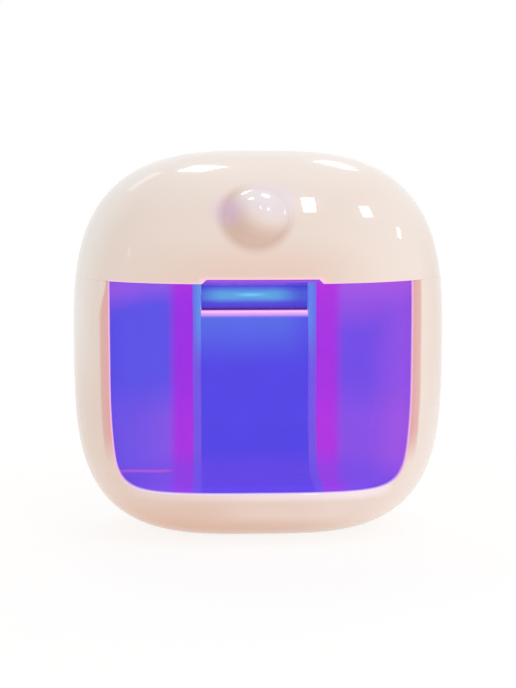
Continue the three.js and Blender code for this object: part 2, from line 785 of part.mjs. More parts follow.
function boardPieces() {
  const pieces = [piece('main_board', mainBoard(), finishes.board)];
  const ledZ = boardZ - seat;
  for (let i = 0; i < ledCount; i++) {
    const x = (i - (ledCount - 1) / 2) * ledSpacing;
    const half = ledSize / 2;
    pieces.push(piece(`uv_led_${i + 1}`, block([x - half, lampY - half, ledZ - ledHeight],
      [x + half, lampY + half, ledZ]), finishes.lamp));
  }
  const sensorX = wingReach - sensorSize;
  const sensorHalf = sensorSize / 2;
  const landing = boardTop + seat;
  const [cellX, cellHalf] = [cellLength / 2, cellDepth / 2];
  const cell = roundedOutline(-cellX, cellY - cellHalf, cellX, cellY + cellHalf, cellCorner);
  pieces.push(
    piece('hood_sensor', block([sensorX - sensorHalf, wingY - sensorHalf, landing],
      [sensorX + sensorHalf, wingY + sensorHalf, landing + sensorHeight]), finishes.black),
    piece('usb_socket', usbSocket(), finishes.steel),
    piece('battery_pad', block([-cellX + cellCorner, cellY - cellHalf + cellCorner, landing],
      [cellX - cellCorner, cellY + cellHalf - cellCorner, landing + padFoam]), finishes.foam),
    piece('battery_cell', raised(cell, cellZ, cellZ + cellHeight), finishes.cell),
  );
  return pieces;
}

function hoodGroup() {
  const group = new THREE.Group();
  const gasket = formBetween(gasketInset, ceilingZ - seat - gasketThickness, ceilingZ - seat)
    .subtract(form(gasketInset + gasketWidth));
  const lens = roundedOutline(-lensLength / 2, lampY - lensDepth / 2, lensLength / 2,
    lampY + lensDepth / 2, lensCorner);
  const lensZ = ceilingZ + lensFloor + seat;
  group.add(
    piece('hood_shell', hoodShell(), finishes.shell),
    piece('hood_ceiling', hoodCeiling(), finishes.ceiling),
    piece('hood_gasket', gasket, finishes.rubber),
    piece('lamp_lens', raised(lens, lensZ, lensZ + lensThickness), finishes.quartz),
    ...boardPieces(), ...leads(), switchGroup(), buttonGroup(),
  );
  for (const [name, side] of Object.entries(sides)) {
    const z = ceilingZ + magnetFloor + seat;
    group.add(piece(`hood_magnet_${name}`,
      rod(magnetRadius, z, z + magnetHeight, side * magnetX, magnetY), finishes.magnet));
  }
  columnPlaces.forEach(([x, y], i) => {
    const fastener = screw(`ceiling_screw_${i + 1}`, ceilingThickness + threadDepth - screwHeadHeight);
    fastener.position.set(x, y, ceilingZ);
    group.add(fastener);
  });
  postPlaces.forEach(([x, y], i) => {
    const fastener = screw(`board_screw_${i + 1}`, boardThickness + seat + shortThread);
    fastener.rotation.x = Math.PI;
    fastener.position.set(x, y, boardTop + seat + screwHeadHeight);
    group.add(fastener);
  });
  return group;
}

const sterilizer = new THREE.Group();
sterilizer.add(bodyGroup(), hoodGroup());

export default sterilizer;
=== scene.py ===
"""Looks of the uv sterilizer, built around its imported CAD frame.

A rounded glossy block with a hinged hood, a push button, a rolled lip round the mouth of a lit
chamber and a clear window behind it. Sizes are in millimetres until they reach a mesh.
"""

import json
import logging
import math
from contextlib import contextmanager
from dataclasses import dataclass, field, replace
from enum import Enum
from typing import Callable, Iterable, Iterator, NamedTuple, Sequence

import bpy
import numpy as np
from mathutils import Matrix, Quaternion, Vector


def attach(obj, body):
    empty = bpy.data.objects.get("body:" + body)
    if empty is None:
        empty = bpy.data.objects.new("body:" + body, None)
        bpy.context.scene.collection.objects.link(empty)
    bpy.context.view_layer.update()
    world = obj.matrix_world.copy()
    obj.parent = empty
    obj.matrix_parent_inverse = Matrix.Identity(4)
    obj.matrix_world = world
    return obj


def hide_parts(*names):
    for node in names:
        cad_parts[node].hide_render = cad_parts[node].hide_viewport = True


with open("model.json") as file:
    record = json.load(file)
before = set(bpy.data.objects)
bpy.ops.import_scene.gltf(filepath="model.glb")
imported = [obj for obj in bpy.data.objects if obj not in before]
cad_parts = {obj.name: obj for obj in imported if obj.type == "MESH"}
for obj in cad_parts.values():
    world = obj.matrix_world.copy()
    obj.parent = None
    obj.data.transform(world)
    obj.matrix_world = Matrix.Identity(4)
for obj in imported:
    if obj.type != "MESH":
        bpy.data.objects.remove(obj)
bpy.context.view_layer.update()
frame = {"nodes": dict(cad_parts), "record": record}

logging.basicConfig(level=logging.INFO, format="%(name)s: %(message)s")
LOG = logging.getLogger("sterilizer")

Triple = tuple[float, float, float]
Points = np.ndarray
Rule = Callable[[Points], Points]
Piece = bpy.types.Object
Material = bpy.types.Material
Socket = bpy.types.NodeSocket
Value = Socket | float

MM = 0.001
HALVINGS = 40  # how often the search for a ring halves its range
BLACK = (0.0, 0.0, 0.0, 1.0)
QUARTER = math.pi / 2
BEYOND = 40.0  # well outside the form, where cutting tools end
SMOOTH = 28.0  # edges sharper than this stay sharp on shells, in degrees

# Lengths that several pieces share
WALL = 2.4
LEDGE = 55.9
LINER_TOP = 68.8
LINER_INSET = 2.7
LINER_WALL = 1.6
CUT_HALF = 15.3
HINGE_Y = 30.5
HINGE_Z = 59.65
BARREL = 3.0
ROUND_OUT = 0.03
ROUND_IN = 0.3


class Body(Enum):
    """The CAD bodies that pieces ride on."""

    BASE = "body"
    HOOD = "hood"
    BUTTON = "button"


class Carve(Enum):
    """The ways in which one solid is combined with another."""

    CUT = "DIFFERENCE"
    KEEP_COMMON = "INTERSECT"


def srgb(red: int, green: int, blue: int) -> tuple[float, float, float, float]:
    """Turns a screen colour into the linear values that shaders use.

    Args:
        red: Red from 0 to 255.
        green: Green from 0 to 255.
        blue: Blue from 0 to 255.

    Returns:
        The colour as linear red, green, blue and a full alpha.
    """
    def line(value: int) -> float:
        """Returns one channel in linear light."""
        share = value / 255
        return share / 12.92 if share <= 0.04045 else ((share + 0.055) / 1.055) ** 2.4

    return line(red), line(green), line(blue), 1.0


# The outer form


@dataclass(frozen=True)
class Form:
    """The block whose sections are superellipses, which every shell follows."""

    half_width: float = 49.0
    half_depth: float = 34.0
    half_height: float = 51.2
    centre_z: float = 50.4
    high_exponent: float = 3.05
    low_exponent: float = 3.4
    edge_exponent: float = 2.3

    def inset(self, wall: float) -> "Form":
        """Returns the same form drawn in by a wall."""
        return replace(self, half_width=self.half_width - wall, half_depth=self.half_depth - wall,
                       half_height=self.half_height - wall)

    def exponent(self, z: Points) -> Points:
        """Returns the exponent of the face at heights; the lower half is squarer."""
        return np.where(np.asarray(z) < self.centre_z, self.low_exponent, self.high_exponent)

    def level(self, points: Points) -> Points:
        """Tells how far out points lie, where 1 is on the form.

        Args:
            points: Places in millimetres, one row each.

        Returns:
            One level for each point.
        """
        x, y, z = np.abs((points - (0, 0, self.centre_z))
                         / (self.half_width, self.half_depth, self.half_height)).T
        n = self.exponent(points[:, 2])
        whole = (x ** n + z ** n) ** (self.edge_exponent / n) + y ** self.edge_exponent
        return whole ** (1 / self.edge_exponent)

    def normals(self, points: Points) -> Points:
        """Finds the outward directions of the form at points.

        Args:
            points: Places in millimetres, one row each.

        Returns:
            Unit directions, one row each.
        """
        n, m = self.exponent(points[:, 2]), self.edge_exponent
        halves = np.array((self.half_width, self.half_depth, self.half_height))
        unit = (points - (0, 0, self.centre_z)) / halves
        x, y, z = np.abs(unit).T
        face = np.maximum(x ** n + z ** n, 1e-9) ** (m / n - 1)
        slope = np.stack((face * x ** (n - 1), y ** (m - 1), face * z ** (n - 1)), axis=1)
        slope = slope * np.sign(unit) / halves
        return slope / np.maximum(np.linalg.norm(slope, axis=1, keepdims=True), 1e-12)

    def front(self, x: Points, z: Points) -> Points:
        """Finds the front surface's y at places of its face.

        Args:
            x: Places across.
            z: Heights.

        Returns:
            One y for each place, which is negative.
        """
        n = self.exponent(z)
        face = (np.abs(x / self.half_width) ** n
                + np.abs((z - self.centre_z) / self.half_height) ** n)
        left = np.maximum(1 - face ** (self.edge_exponent / n), 0)
        return -self.half_depth * left ** (1 / self.edge_exponent)

    def ring(self, z: float, turns: Points, share: float = 1.0) -> Points:
        """Finds where the form meets a level plane.

        Args:
            z: Height of the plane.
            turns: Directions round the vertical axis, in radians.
            share: How much of the ring's size to keep.

        Returns:
            One point for each turn.
        """
        across = np.stack((np.cos(turns) * self.half_width, np.sin(turns) * self.half_depth,
                           np.zeros_like(turns)), axis=1)
        low, high = np.zeros_like(turns), np.full_like(turns, 1.5)
        centre = np.array((0, 0, z))
        for _ in range(HALVINGS):
            middle = (low + high) / 2
            outside = self.level(across * middle[:, None] + centre) > 1
            high = np.where(outside, middle, high)
            low = np.where(outside, low, middle)
        return across * (low * share)[:, None] + centre

    def turn_at(self, z: float) -> float:
        """Returns the rise angle at which the form reaches a height."""
        share = (z - self.centre_z) / self.half_height
        share = max(-1.0, min(1.0, share))
        return math.copysign(math.asin(abs(share) ** (self.high_exponent / 2)), share)

    def heights(self, low: float, high: float, count: int) -> list[float]:
        """Spaces heights so that rows follow the curve of the form.

        Args:
            low: First height.
            high: Last height.
            count: How many heights there are.

        Returns:
            The heights from low to high.
        """
        rises = np.linspace(self.turn_at(low), self.turn_at(high), count)
        shares = np.sign(rises) * np.abs(np.sin(rises)) ** (2 / self.high_exponent)
        return list(shares * self.half_height + self.centre_z)


# Mesh tools


def clear_selection() -> None:
    """Leaves object mode with nothing selected."""
    if bpy.context.object and bpy.context.object.mode != "OBJECT":
        bpy.ops.object.mode_set(mode="OBJECT")
    bpy.ops.object.select_all(action="DESELECT")


def make_active(piece: Piece) -> None:
    """Selects one piece and nothing else."""
    clear_selection()
    piece.select_set(True)
    bpy.context.view_layer.objects.active = piece


def named(piece: Piece, name: str) -> Piece:
    """Names a piece and its mesh, and returns it."""
    piece.name = piece.data.name = name
    return piece


def places(piece: Piece) -> Points:
    """Returns a piece's vertices in millimetres, one row each."""
    values = np.empty(len(piece.data.vertices) * 3)
    piece.data.vertices.foreach_get("co", values)
    return values.reshape(-1, 3) / MM


def set_places(piece: Piece, points: Points) -> None:
    """Writes a piece's vertices, given in millimetres."""
    piece.data.vertices.foreach_set("co", (np.asarray(points) * MM).ravel())
    piece.data.update()


@contextmanager
def editing(piece: Piece, select: str = "SELECT") -> Iterator[None]:
    """Edits a piece's mesh with all or, for DESELECT, nothing of it selected."""
    make_active(piece)
    bpy.ops.object.mode_set(mode="EDIT")
    bpy.ops.mesh.select_all(action=select)
    yield
    bpy.ops.object.mode_set(mode="OBJECT")


def tidy_mesh(piece: Piece, reach: float = 0.0005) -> None:
    """Merges doubled vertices of a closed piece and turns its faces outwards.

    Args:
        piece: The piece to tidy.
        reach: How close two vertices lie, in millimetres, to be one.
    """
    with editing(piece):
        bpy.ops.mesh.remove_doubles(threshold=reach * MM)
        bpy.ops.mesh.dissolve_degenerate(threshold=reach * MM / 10)
        bpy.ops.mesh.normals_make_consistent(inside=False)


def wrapped(name: str, rings: Sequence[Points], closed: bool = False) -> Piece:
    """Wraps a grid into a sleeve through rings of equal count.

    Args:
        name: Name of the piece.
        rings: The rings in order, each with one point a row.
        closed: Whether the last ring joins the first, as in a torus.

    Returns:
        The piece, with doubled vertices merged and faces outwards.
    """
    rings = list(rings) + ([rings[0]] if closed else [])
    rows, sides = len(rings) - 1, len(rings[0])
    clear_selection()
    bpy.ops.mesh.primitive_grid_add(x_subdivisions=sides, y_subdivisions=rows, size=2)
    piece = named(bpy.context.object, name)
    flat = places(piece) * MM
    column = np.rint((flat[:, 0] + 1) / 2 * sides).astype(int) % sides
    row = np.rint((flat[:, 1] + 1) / 2 * rows).astype(int)
    set_places(piece, np.stack(rings)[row, column])
    tidy_mesh(piece)
    return piece


def lofted(name: str, rings: Sequence[Points]) -> Piece:
    """Lofts a sleeve through rings and shuts its two ends.

    Args:
        name: Name of the piece.
        rings: The rings in order, each with one point a row.

    Returns:
        The closed piece.
    """
    piece = wrapped(name, rings)
    with editing(piece, "DESELECT"):
        bpy.ops.mesh.select_mode(type="VERT")
        bpy.ops.mesh.select_non_manifold(extend=False)
        bpy.ops.mesh.edge_face_add()
        bpy.ops.mesh.select_all(action="SELECT")
        bpy.ops.mesh.normals_make_consistent(inside=False)
    return piece


def circle(sides: int) -> Points:
    """Returns directions spread evenly round a turn, in radians."""
    return np.linspace(0, 2 * math.pi, sides, endpoint=False)


def raised(name: str, flat: Points, axis: int, ends: Sequence[float]) -> Piece:
    """Draws a flat outline out along an axis into a closed piece.

    Args:
        name: Name of the piece.
        flat: The outline's points in the other two axes.
        axis: The axis that it is drawn along: 0, 1 or 2.
        ends: The places on that axis where the piece starts and ends.

    Returns:
        The piece.
    """
    return lofted(name, [np.insert(flat, axis, end, axis=1) for end in ends])


def rim(form: Form, edge: float, up: float, turns: Points) -> list[Points]:
    """Lays rings over a shell's rim, rounded outside and inside.

    Args:
        form: The shell's outer form.
        edge: Height of the rim.
        up: 1 where the shell lies above its rim, -1 where it lies below.
        turns: Directions of each ring's points.

    Returns:
        The rings, from the outside to the inside.
    """
    corners = [(0.0, ROUND_OUT, 1, step / 5) for step in range(1, 6)]
    corners += [(WALL, ROUND_IN, -1, 1 - step / 3) for step in range(4)]
    rings = []
    for wall, radius, inward, share in corners:
        turn = QUARTER * share
        inset = wall + inward * radius * (1 - math.cos(turn))
        rings.append(form.inset(inset).ring(edge + up * radius * (1 - math.sin(turn)), turns))
    return rings


def block(name: str, low: Sequence[float], high: Sequence[float]) -> Piece:
    """Adds a box between two corners, given in millimetres."""
    clear_selection()
    low, high = np.array(low, float), np.array(high, float)
    bpy.ops.mesh.primitive_cube_add(size=2)
    piece = named(bpy.context.object, name)
    set_places(piece, places(piece) * MM * (high - low) / 2 + (high + low) / 2)
    return piece


def rod(name: str, radius: float, start: Sequence[float], end: Sequence[float],
        sides: int = 48) -> Piece:
    """Adds a round rod between two points, given in millimetres."""
    clear_selection()
    start, end = np.array(start, float), np.array(end, float)
    axis = (end - start) / np.linalg.norm(end - start)
    bpy.ops.mesh.primitive_cylinder_add(vertices=sides, radius=1, depth=2)
    piece = named(bpy.context.object, name)
    unit = places(piece) * MM
    side = np.cross(axis, (0.0, 0.0, 1.0) if abs(axis[2]) < 0.9 else (1.0, 0.0, 0.0))
    side /= np.linalg.norm(side)
    other = np.cross(axis, side)
    set_places(piece, (start + end) / 2 + radius * (unit[:, :1] * side + unit[:, 1:2] * other)
               + unit[:, 2:3] * (end - start) / 2)
    tidy_mesh(piece)
    return piece


def rounded_outline(points: Points, radius: float, steps: int = 4) -> Points:
    """Rounds the corners of a flat closed outline.

    Args:
        points: Corners in order.
        radius: How far from each corner its rounding starts.
        steps: How many edges each rounding has.

    Returns:
        The rounded outline.
    """
    result = []
    for before, corner, after in zip(np.roll(points, 1, axis=0), points,
                                     np.roll(points, -1, axis=0)):
        back, ahead = before - corner, after - corner
        near = min(radius, np.linalg.norm(back) * 0.45, np.linalg.norm(ahead) * 0.45)
        start = corner + back / np.linalg.norm(back) * near
        end = corner + ahead / np.linalg.norm(ahead) * near
        for step in range(steps + 1):
            share = step / steps
            result.append((1 - share) ** 2 * start + 2 * share * (1 - share) * corner
                          + share ** 2 * end)
    return np.array(result)


def joined(parts: Sequence[Piece]) -> Piece:
    """Joins pieces that don't touch into one mesh and returns it."""
    clear_selection()
    for part in parts:
        part.select_set(True)
    bpy.context.view_layer.objects.active = parts[0]
    bpy.ops.object.join()
    return parts[0]


def carve(piece: Piece, tool: Piece, how: Carve = Carve.CUT) -> None:
    """Combines a piece with a tool, which is used up.

    Args:
        piece: The piece that changes.
        tool: The solid that it is combined with.
        how: Whether the tool is cut out or kept in common.
    """
    make_active(piece)
    modifier = piece.modifiers.new(tool.name, "BOOLEAN")
    modifier.operation = how.value
    modifier.solver = "EXACT"
    modifier.object = tool
    bpy.ops.object.modifier_apply(modifier=modifier.name)
    bpy.data.objects.remove(tool)


def bevelled(piece: Piece, width: float, steps: int = 3, angle: float = 40) -> None:
    """Rounds the sharp edges of a piece.

    Args:
        piece: The piece that changes.
        width: Width of the rounding in millimetres.
        steps: How many faces the rounding has.
        angle: The least angle, in degrees, of an edge that is rounded.
    """
    make_active(piece)
    modifier = piece.modifiers.new("rounding", "BEVEL")
    modifier.width = width * MM
    modifier.segments = steps
    modifier.limit_method = "ANGLE"
    modifier.angle_limit = math.radians(angle)
    modifier.use_clamp_overlap = True
    bpy.ops.object.modifier_apply(modifier=modifier.name)


def smoothed(piece: Piece, angle: float = 30) -> None:
    """Shades a piece smooth but for edges sharper than an angle in degrees."""
    make_active(piece)
    bpy.ops.object.shade_smooth_by_angle(angle=math.radians(angle))


def follow_forms(piece: Piece, forms: Iterable[Form], reach: float = 2e-4) -> None:
    """Gives the faces that lie on smooth forms those forms' own normals.

    Args:
        piece: The piece, shaded smooth already.
        forms: The forms that its walls follow.
        reach: How far from level 1 a vertex may lie to be on a form.
    """
    mesh = piece.data
    points = places(piece)
    corners = np.empty(len(mesh.loops), int)
    mesh.loops.foreach_get("vertex_index", corners)
    normals = np.empty(len(mesh.loops) * 3)
    mesh.corner_normals.foreach_get("vector", normals)
    normals = normals.reshape(-1, 3)
    starts = np.empty(len(mesh.polygons), int)
    totals = np.empty(len(mesh.polygons), int)
    mesh.polygons.foreach_get("loop_start", starts)
    mesh.polygons.foreach_get("loop_total", totals)
    face_of = np.repeat(np.arange(len(starts)), totals)
    for form in forms:
        on = np.abs(form.level(points) - 1) < reach
        off_corners = np.zeros(len(starts), int)
        np.add.at(off_corners, face_of, ~on[corners])
        chosen = (off_corners == 0)[face_of]
        true = form.normals(points[corners[chosen]])
        side = np.sign((true * normals[chosen]).sum(axis=1, keepdims=True))
        normals[chosen] = true * np.where(side == 0, 1, side)
    mesh.normals_split_custom_set(normals.tolist())


def spread(piece: Piece, name: str, rule: Rule) -> None:
    """Stores a value on each vertex of a piece for its finish to read.

    Args:
        piece: The piece.
        name: Name of the attribute.
        rule: Turns vertex places in millimetres into one value each.
    """
    values = np.clip(rule(places(piece)), 0, 1).astype(np.float32)
    store = piece.data.attributes.new(name, "FLOAT", "POINT")
    store.data.foreach_set("value", values)


def ramp_down(values: Points, near: float, far: float) -> Points:
    """Returns 1 below near and 0 above far, with a smooth fall between."""
    share = np.clip((far - values) / (far - near), 0, 1)
    return share * share * (3 - 2 * share)


def settle(piece: Piece, body: Body, slot: str, finish: Material, *nodes: str) -> None:
    """Dresses a finished piece, hangs it on its body and reports it.

    Args:
        piece: The finished piece.
        body: The CAD body that it rides on.
        slot: The record's material slot; not used.
        finish: Its material.
        nodes: The CAD nodes that it stands for.
    """
    piece.data.materials.clear()
    piece.data.materials.append(finish)
    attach(piece, body.value)
    if nodes:
        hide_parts(*nodes)
    piece.data.calc_loop_triangles()
    LOG.info("%s rides on %s with %d triangles", piece.name, body.value,
             len(piece.data.loop_triangles))


# Finishes


class Tree:
    """A short hand for the nodes of one material."""

    def __init__(self, name: str) -> None:
        """Starts a material with a shader and object coordinates in millimetres."""
        self.material = bpy.data.materials.new(name)
        self.material.use_nodes = True
        self.nodes = self.material.node_tree.nodes
        self.links = self.material.node_tree.links
        self.shader = self.nodes["Principled BSDF"]
        coordinates = self.nodes.new("ShaderNodeTexCoord")
        scale = self.nodes.new("ShaderNodeMapping")
        scale.inputs["Scale"].default_value = (1 / MM,) * 3
        self.links.new(coordinates.outputs["Object"], scale.inputs["Vector"])
        self.place = scale.outputs["Vector"]

    def set(self, **values: object) -> None:
        """Sets constant sockets of the shader, named with underscores for spaces."""
        for name, value in values.items():
            self.shader.inputs[name.replace("_", " ")].default_value = value

    def feed(self, name: str, socket: Socket) -> None:
        """Links a value that varies to a socket of the shader."""
        self.links.new(socket, self.shader.inputs[name])

    def plug(self, socket: Socket, value: Value | tuple) -> None:
        """Links a socket to another, or sets it to a constant."""
        if isinstance(value, Socket):
            self.links.new(value, socket)
        else:
            socket.default_value = value

    def noise(self, scale: float, detail: float = 2.0, stretch: Triple = (1, 1, 1)) -> Socket:
        """Adds a noise.

        Args:
            scale: How many swells it has in a millimetre.
            detail: How many finer layers it has.
            stretch: How much its swells are drawn together along each axis.

        Returns:
            The noise's value.
        """
        mapping = self.nodes.new("ShaderNodeMapping")
        mapping.inputs["Scale"].default_value = stretch
        self.links.new(self.place, mapping.inputs["Vector"])
        node = self.nodes.new("ShaderNodeTexNoise")
        node.inputs["Scale"].default_value = scale
        node.inputs["Detail"].default_value = detail
        self.links.new(mapping.outputs["Vector"], node.inputs["Vector"])
        return node.outputs["Fac"]

    def axis(self, name: str) -> Socket:
        """Returns one coordinate in millimetres, X, Y or Z."""
        node = self.nodes.new("ShaderNodeSeparateXYZ")
        self.links.new(self.place, node.inputs["Vector"])
        return node.outputs[name]

    def away(self, centre: Sequence[float]) -> Socket:
        """Returns how far the surface lies from a place, in millimetres."""
        node = self.nodes.new("ShaderNodeVectorMath")
        node.operation = "DISTANCE"
        node.inputs[1].default_value = tuple(float(v) for v in centre)
        self.links.new(self.place, node.inputs[0])
        return node.outputs["Value"]

    def attribute(self, name: str) -> Socket:
        """Returns a value that the piece stores on its vertices."""
        node = self.nodes.new("ShaderNodeAttribute")
        node.attribute_name = name
        return node.outputs["Fac"]

    def grazing(self) -> Socket:
        """Returns a share that rises from 0, seen square on, to 1 at a grazing view."""
        node = self.nodes.new("ShaderNodeLayerWeight")
        node.inputs["Blend"].default_value = 0.5
        return self.sum("POWER", node.outputs["Facing"], 3.0)

    def span(self, value: Socket, low: float, high: float, smooth: bool = False) -> Socket:
        """Maps a value so that low becomes 0 and high becomes 1."""
        node = self.nodes.new("ShaderNodeMapRange")
        node.interpolation_type = "SMOOTHSTEP" if smooth else "LINEAR"
        node.inputs["From Min"].default_value = low
        node.inputs["From Max"].default_value = high
        self.links.new(value, node.inputs["Value"])
        return node.outputs["Result"]

    def ease(self, value: Socket, low: float, high: float) -> Socket:
        """Maps a value like span, but eases at both ends."""
        return self.span(value, low, high, smooth=True)

    def between(self, share: Socket, first: Socket, second: Socket) -> Socket:
        """Goes from a first to a second value as a share rises from 0 to 1."""
        node = self.nodes.new("ShaderNodeMapRange")
        for name, value in (("Value", share), ("To Min", first), ("To Max", second)):
            self.links.new(value, node.inputs[name])
        return node.outputs["Result"]

    def sum(self, operation: str, *values: Value) -> Socket:
        """Adds a sum of one to three values, each a socket or a number."""
        node = self.nodes.new("ShaderNodeMath")
        node.operation = operation
        for socket, value in zip(node.inputs, values):
            self.plug(socket, value)
        return node.outputs["Value"]

    def times(self, first: Value, *others: Value) -> Value:
        """Multiplies values, each a socket or a number."""
        for other in others:
            first = self.sum("MULTIPLY", first, other)
        return first

    def scaled(self, value: Value, factor: Value, offset: Value) -> Socket:
        """Multiplies a value by a factor and adds an offset."""
        return self.sum("MULTIPLY_ADD", value, factor, offset)

    def off(self, value: Socket, centre: float = 0.0) -> Socket:
        """Returns how far a value lies from a centre, to either side."""
        return self.sum("ABSOLUTE", self.sum("SUBTRACT", value, centre))

    def mix(self, share: Value, first: Socket | tuple, second: Socket | tuple,
            blend: str = "MIX") -> Socket:
        """Mixes two colours.

        Args:
            share: How much of the second colour shows.
            first: A socket or a colour.
            second: A socket or a colour.
            blend: How the two are mixed.

        Returns:
            The mixed colour.
        """
        node = self.nodes.new("ShaderNodeMix")
        node.data_type = "RGBA"
        node.blend_type = blend
        colours = [s for s in node.inputs if s.type == "RGBA"]
        for socket, value in zip((node.inputs[0], *colours), (share, first, second)):
            self.plug(socket, value)
        return [s for s in node.outputs if s.type == "RGBA"][0]

    def bump(self, height: Socket, depth: float, strength: float = 1.0) -> None:
        """Raises a surface by a height in millimetres."""
        node = self.nodes.new("ShaderNodeBump")
        node.inputs["Distance"].default_value = depth * MM
        node.inputs["Strength"].default_value = strength
        self.links.new(height, node.inputs["Height"])
        self.links.new(node.outputs["Normal"], self.shader.inputs["Normal"])


@dataclass(frozen=True)
class GlossShell:
    """High gloss moulded plastic, with a glow where the lamp light reaches it."""

    name: str = "shell_gloss"
    # The two tones of the random clouds; the deeper one also stands for painted shade low down.
    light: tuple = srgb(234, 219, 210)
    deep_and_shaded: tuple = srgb(228, 205, 191)
    # Painted shade: tan along the foot.
    foot: tuple = srgb(222, 182, 156)
    # Painted light: lighter on the foot's front, on the crown and at the right.
    painted_fair_light: tuple = srgb(242, 232, 226)
    # Painted glow of the lamp light: pink on the lip's sides and the hood's edge, paler along the
    # sill.
    glow: tuple = srgb(222, 168, 244)
    sill_glow: tuple = srgb(204, 216, 255)
    # Painted shade on the lip's sides, pinker at its inner edge; the first tone also tints the
    # colour under lamp light.
    painted_blush: tuple = srgb(222, 178, 170)
    edge: tuple = srgb(226, 166, 168)
    # Painted light: paler at the far left.
    pale: tuple = srgb(240, 234, 228)
    # Painted shade: warmer over the front seam.
    painted_warm_shade: tuple = srgb(226, 194, 176)
    # Painted on the button's dome: shade below, a violet glow at the left and a sheen of
    # reflection at the upper right.
    shadow: tuple = srgb(208, 176, 158)
    violet: tuple = srgb(212, 178, 232)
    painted_lilac_sheen: tuple = srgb(232, 222, 236)
    roughness: float = 0.2
    height: float = 101.6
    # Centres of painted light and shade.
    foot_light: Triple = (7, -26, 11)
    face_middle: Triple = (12, -22, 58)
    dome_low: Triple = (-1.6, -26.2, 85.2)
    dome_middle: Triple = (1.4, -25.2, 89.4)
    dome_lit: Triple = (2.2, -25.6, 89.2)
    dome_left: Triple = (-8.0, -26.2, 86.8)

    def cloud_and_painted_foot_shading(self, tree: Tree) -> Socket:
        """Returns the shell's colour: clouded, with painted shade deeper downwards and tan along
        the foot, and painted light on the foot's front.
        """
        # Random clouds, with painted shade deeper towards the bottom.
        rise = tree.ease(tree.axis("Z"), 0, self.height)
        cloud = tree.scaled(tree.noise(0.035), 0.35, 0.3)
        level = tree.times(tree.sum("ADD", cloud, rise), 0.62)
        base = tree.mix(tree.span(level, 0.1, 0.9), self.deep_and_shaded, self.light)
        # Painted shade: tan along the foot, stronger to the left and lowest down.
        tan = tree.scaled(tree.span(tree.axis("X"), 22, -28), 0.68, 0.18)
        tan = tree.times(tan, tree.ease(tree.axis("Z"), 16, 3))
        tan = tree.scaled(tree.ease(tree.axis("Z"), 8, 2), 0.4, tan)
        base = tree.mix(tan, base, self.foot)
        # Painted light: lighter on the foot's front, right of the middle.
        rim = tree.times(tree.ease(tree.away(self.foot_light), 24, 8),
                         tree.ease(tree.axis("Z"), 5, 9), 0.5)
        return tree.mix(rim, base, self.painted_fair_light)

    def painted_side_shading(self, tree: Tree, base: Socket) -> Socket:
        """Paints light at the far left, shade warmer over the front seam, and light above and at
        the right.
        """
        # Painted light: paler at the far left, from mid height up.
        left = tree.times(tree.ease(tree.away(self.face_middle), 52, 60),
                          tree.ease(tree.axis("Z"), 34, 62),
                          tree.span(tree.axis("Y"), 20, -5), 0.9)
        base = tree.mix(left, base, self.pale)
        # Painted shade: warmer over the front seam.
        low = tree.times(tree.ease(tree.axis("Z"), 82, 71), tree.ease(tree.axis("Y"), -18, -30),
                         tree.ease(tree.off(tree.axis("X")), 40, 8), 0.6)
        base = tree.mix(low, base, self.painted_warm_shade)
        # Painted light: lighter on the crown and at the right, less so at the very right edge.
        outer = tree.times(tree.span(tree.axis("X"), 40, 47), tree.ease(tree.axis("Z"), 22, 60))
        right = tree.times(tree.ease(tree.axis("X"), 8, 42), tree.scaled(outer, -0.8, 0.6))
        crown = tree.times(tree.ease(tree.axis("Z"), 84, 99), 0.6)
        return tree.mix(tree.sum("MAXIMUM", crown, right), base, self.painted_fair_light)

    def painted_dome_shading(self, tree: Tree, base: Socket) -> Socket:
        """Paints the button's dome: shade deeper below, a violet glow at the left, a pale violet
        sheen of reflection at the upper right.
        """
        front = tree.span(tree.axis("Y"), -12, -18)
        # Painted shade: a crescent low on the dome.
        crescent = tree.times(tree.ease(tree.away(self.dome_low), 10.6, 7.6),
                              tree.ease(tree.away(self.dome_middle), 5.0, 10.8), front, 0.85)
        base = tree.mix(crescent, base, self.shadow)
        # Painted reflection: a pale violet sheen at the upper right.
        sheen = tree.times(tree.ease(tree.away(self.dome_lit), 9.2, 3.0), front, 0.6)
        base = tree.mix(sheen, base, self.painted_lilac_sheen)
        # Painted violet glow at the dome's left.
        left = tree.times(tree.ease(tree.away(self.dome_left), 6.6, 0.2), 0.45)
        return tree.mix(left, base, self.violet)

    def painted_lip_shading(self, tree: Tree, base: Socket) -> Socket:
        """Paints shade into the lip's sides in an even band, narrowest at the upper left."""
        # Painted shade in an even band along the lip's sides, pinker near the inner edge.
        away = tree.span(tree.attribute("lip_near"), 1, 0)
        upper_left = tree.times(tree.ease(tree.axis("Z"), 60, 70),
                                tree.span(tree.axis("X"), 1, -1), 0.7)
        share = tree.sum("DIVIDE", away, tree.sum("SUBTRACT", 1.0, upper_left))
        tone = tree.mix(tree.ease(share, 0.5, 0.12), self.painted_blush, self.edge)
        band = tree.times(tree.ease(share, 0.74, 0.5), tree.ease(tree.axis("Z"), 20, 31),
                          tree.ease(tree.attribute("lip_upright"), 0.6, 1.0))
        return tree.mix(band, base, tone)

    def painted_lamp_light(self, tree: Tree, base: Socket) -> None:
        """Feeds the colour, blushed with painted lamp light, and the painted glow of that light.
        """
        lamp, upright = tree.attribute("lamp_glow"), tree.attribute("lip_upright")
        # Painted lamp light: a pink tint in the colour, a pink glow on the sides and the hood's
        # edge and a paler one along the sill.
        tree.feed("Base Color", tree.mix(tree.times(lamp, 2.4, upright), base, self.painted_blush))
        strong = tree.times(tree.span(lamp, 0.25, 0.5), 0.45)
        shine = tree.mix(tree.sum("MAXIMUM", upright, strong), self.sill_glow, self.glow)
        tree.feed("Emission Color", tree.mix(lamp, BLACK, shine))

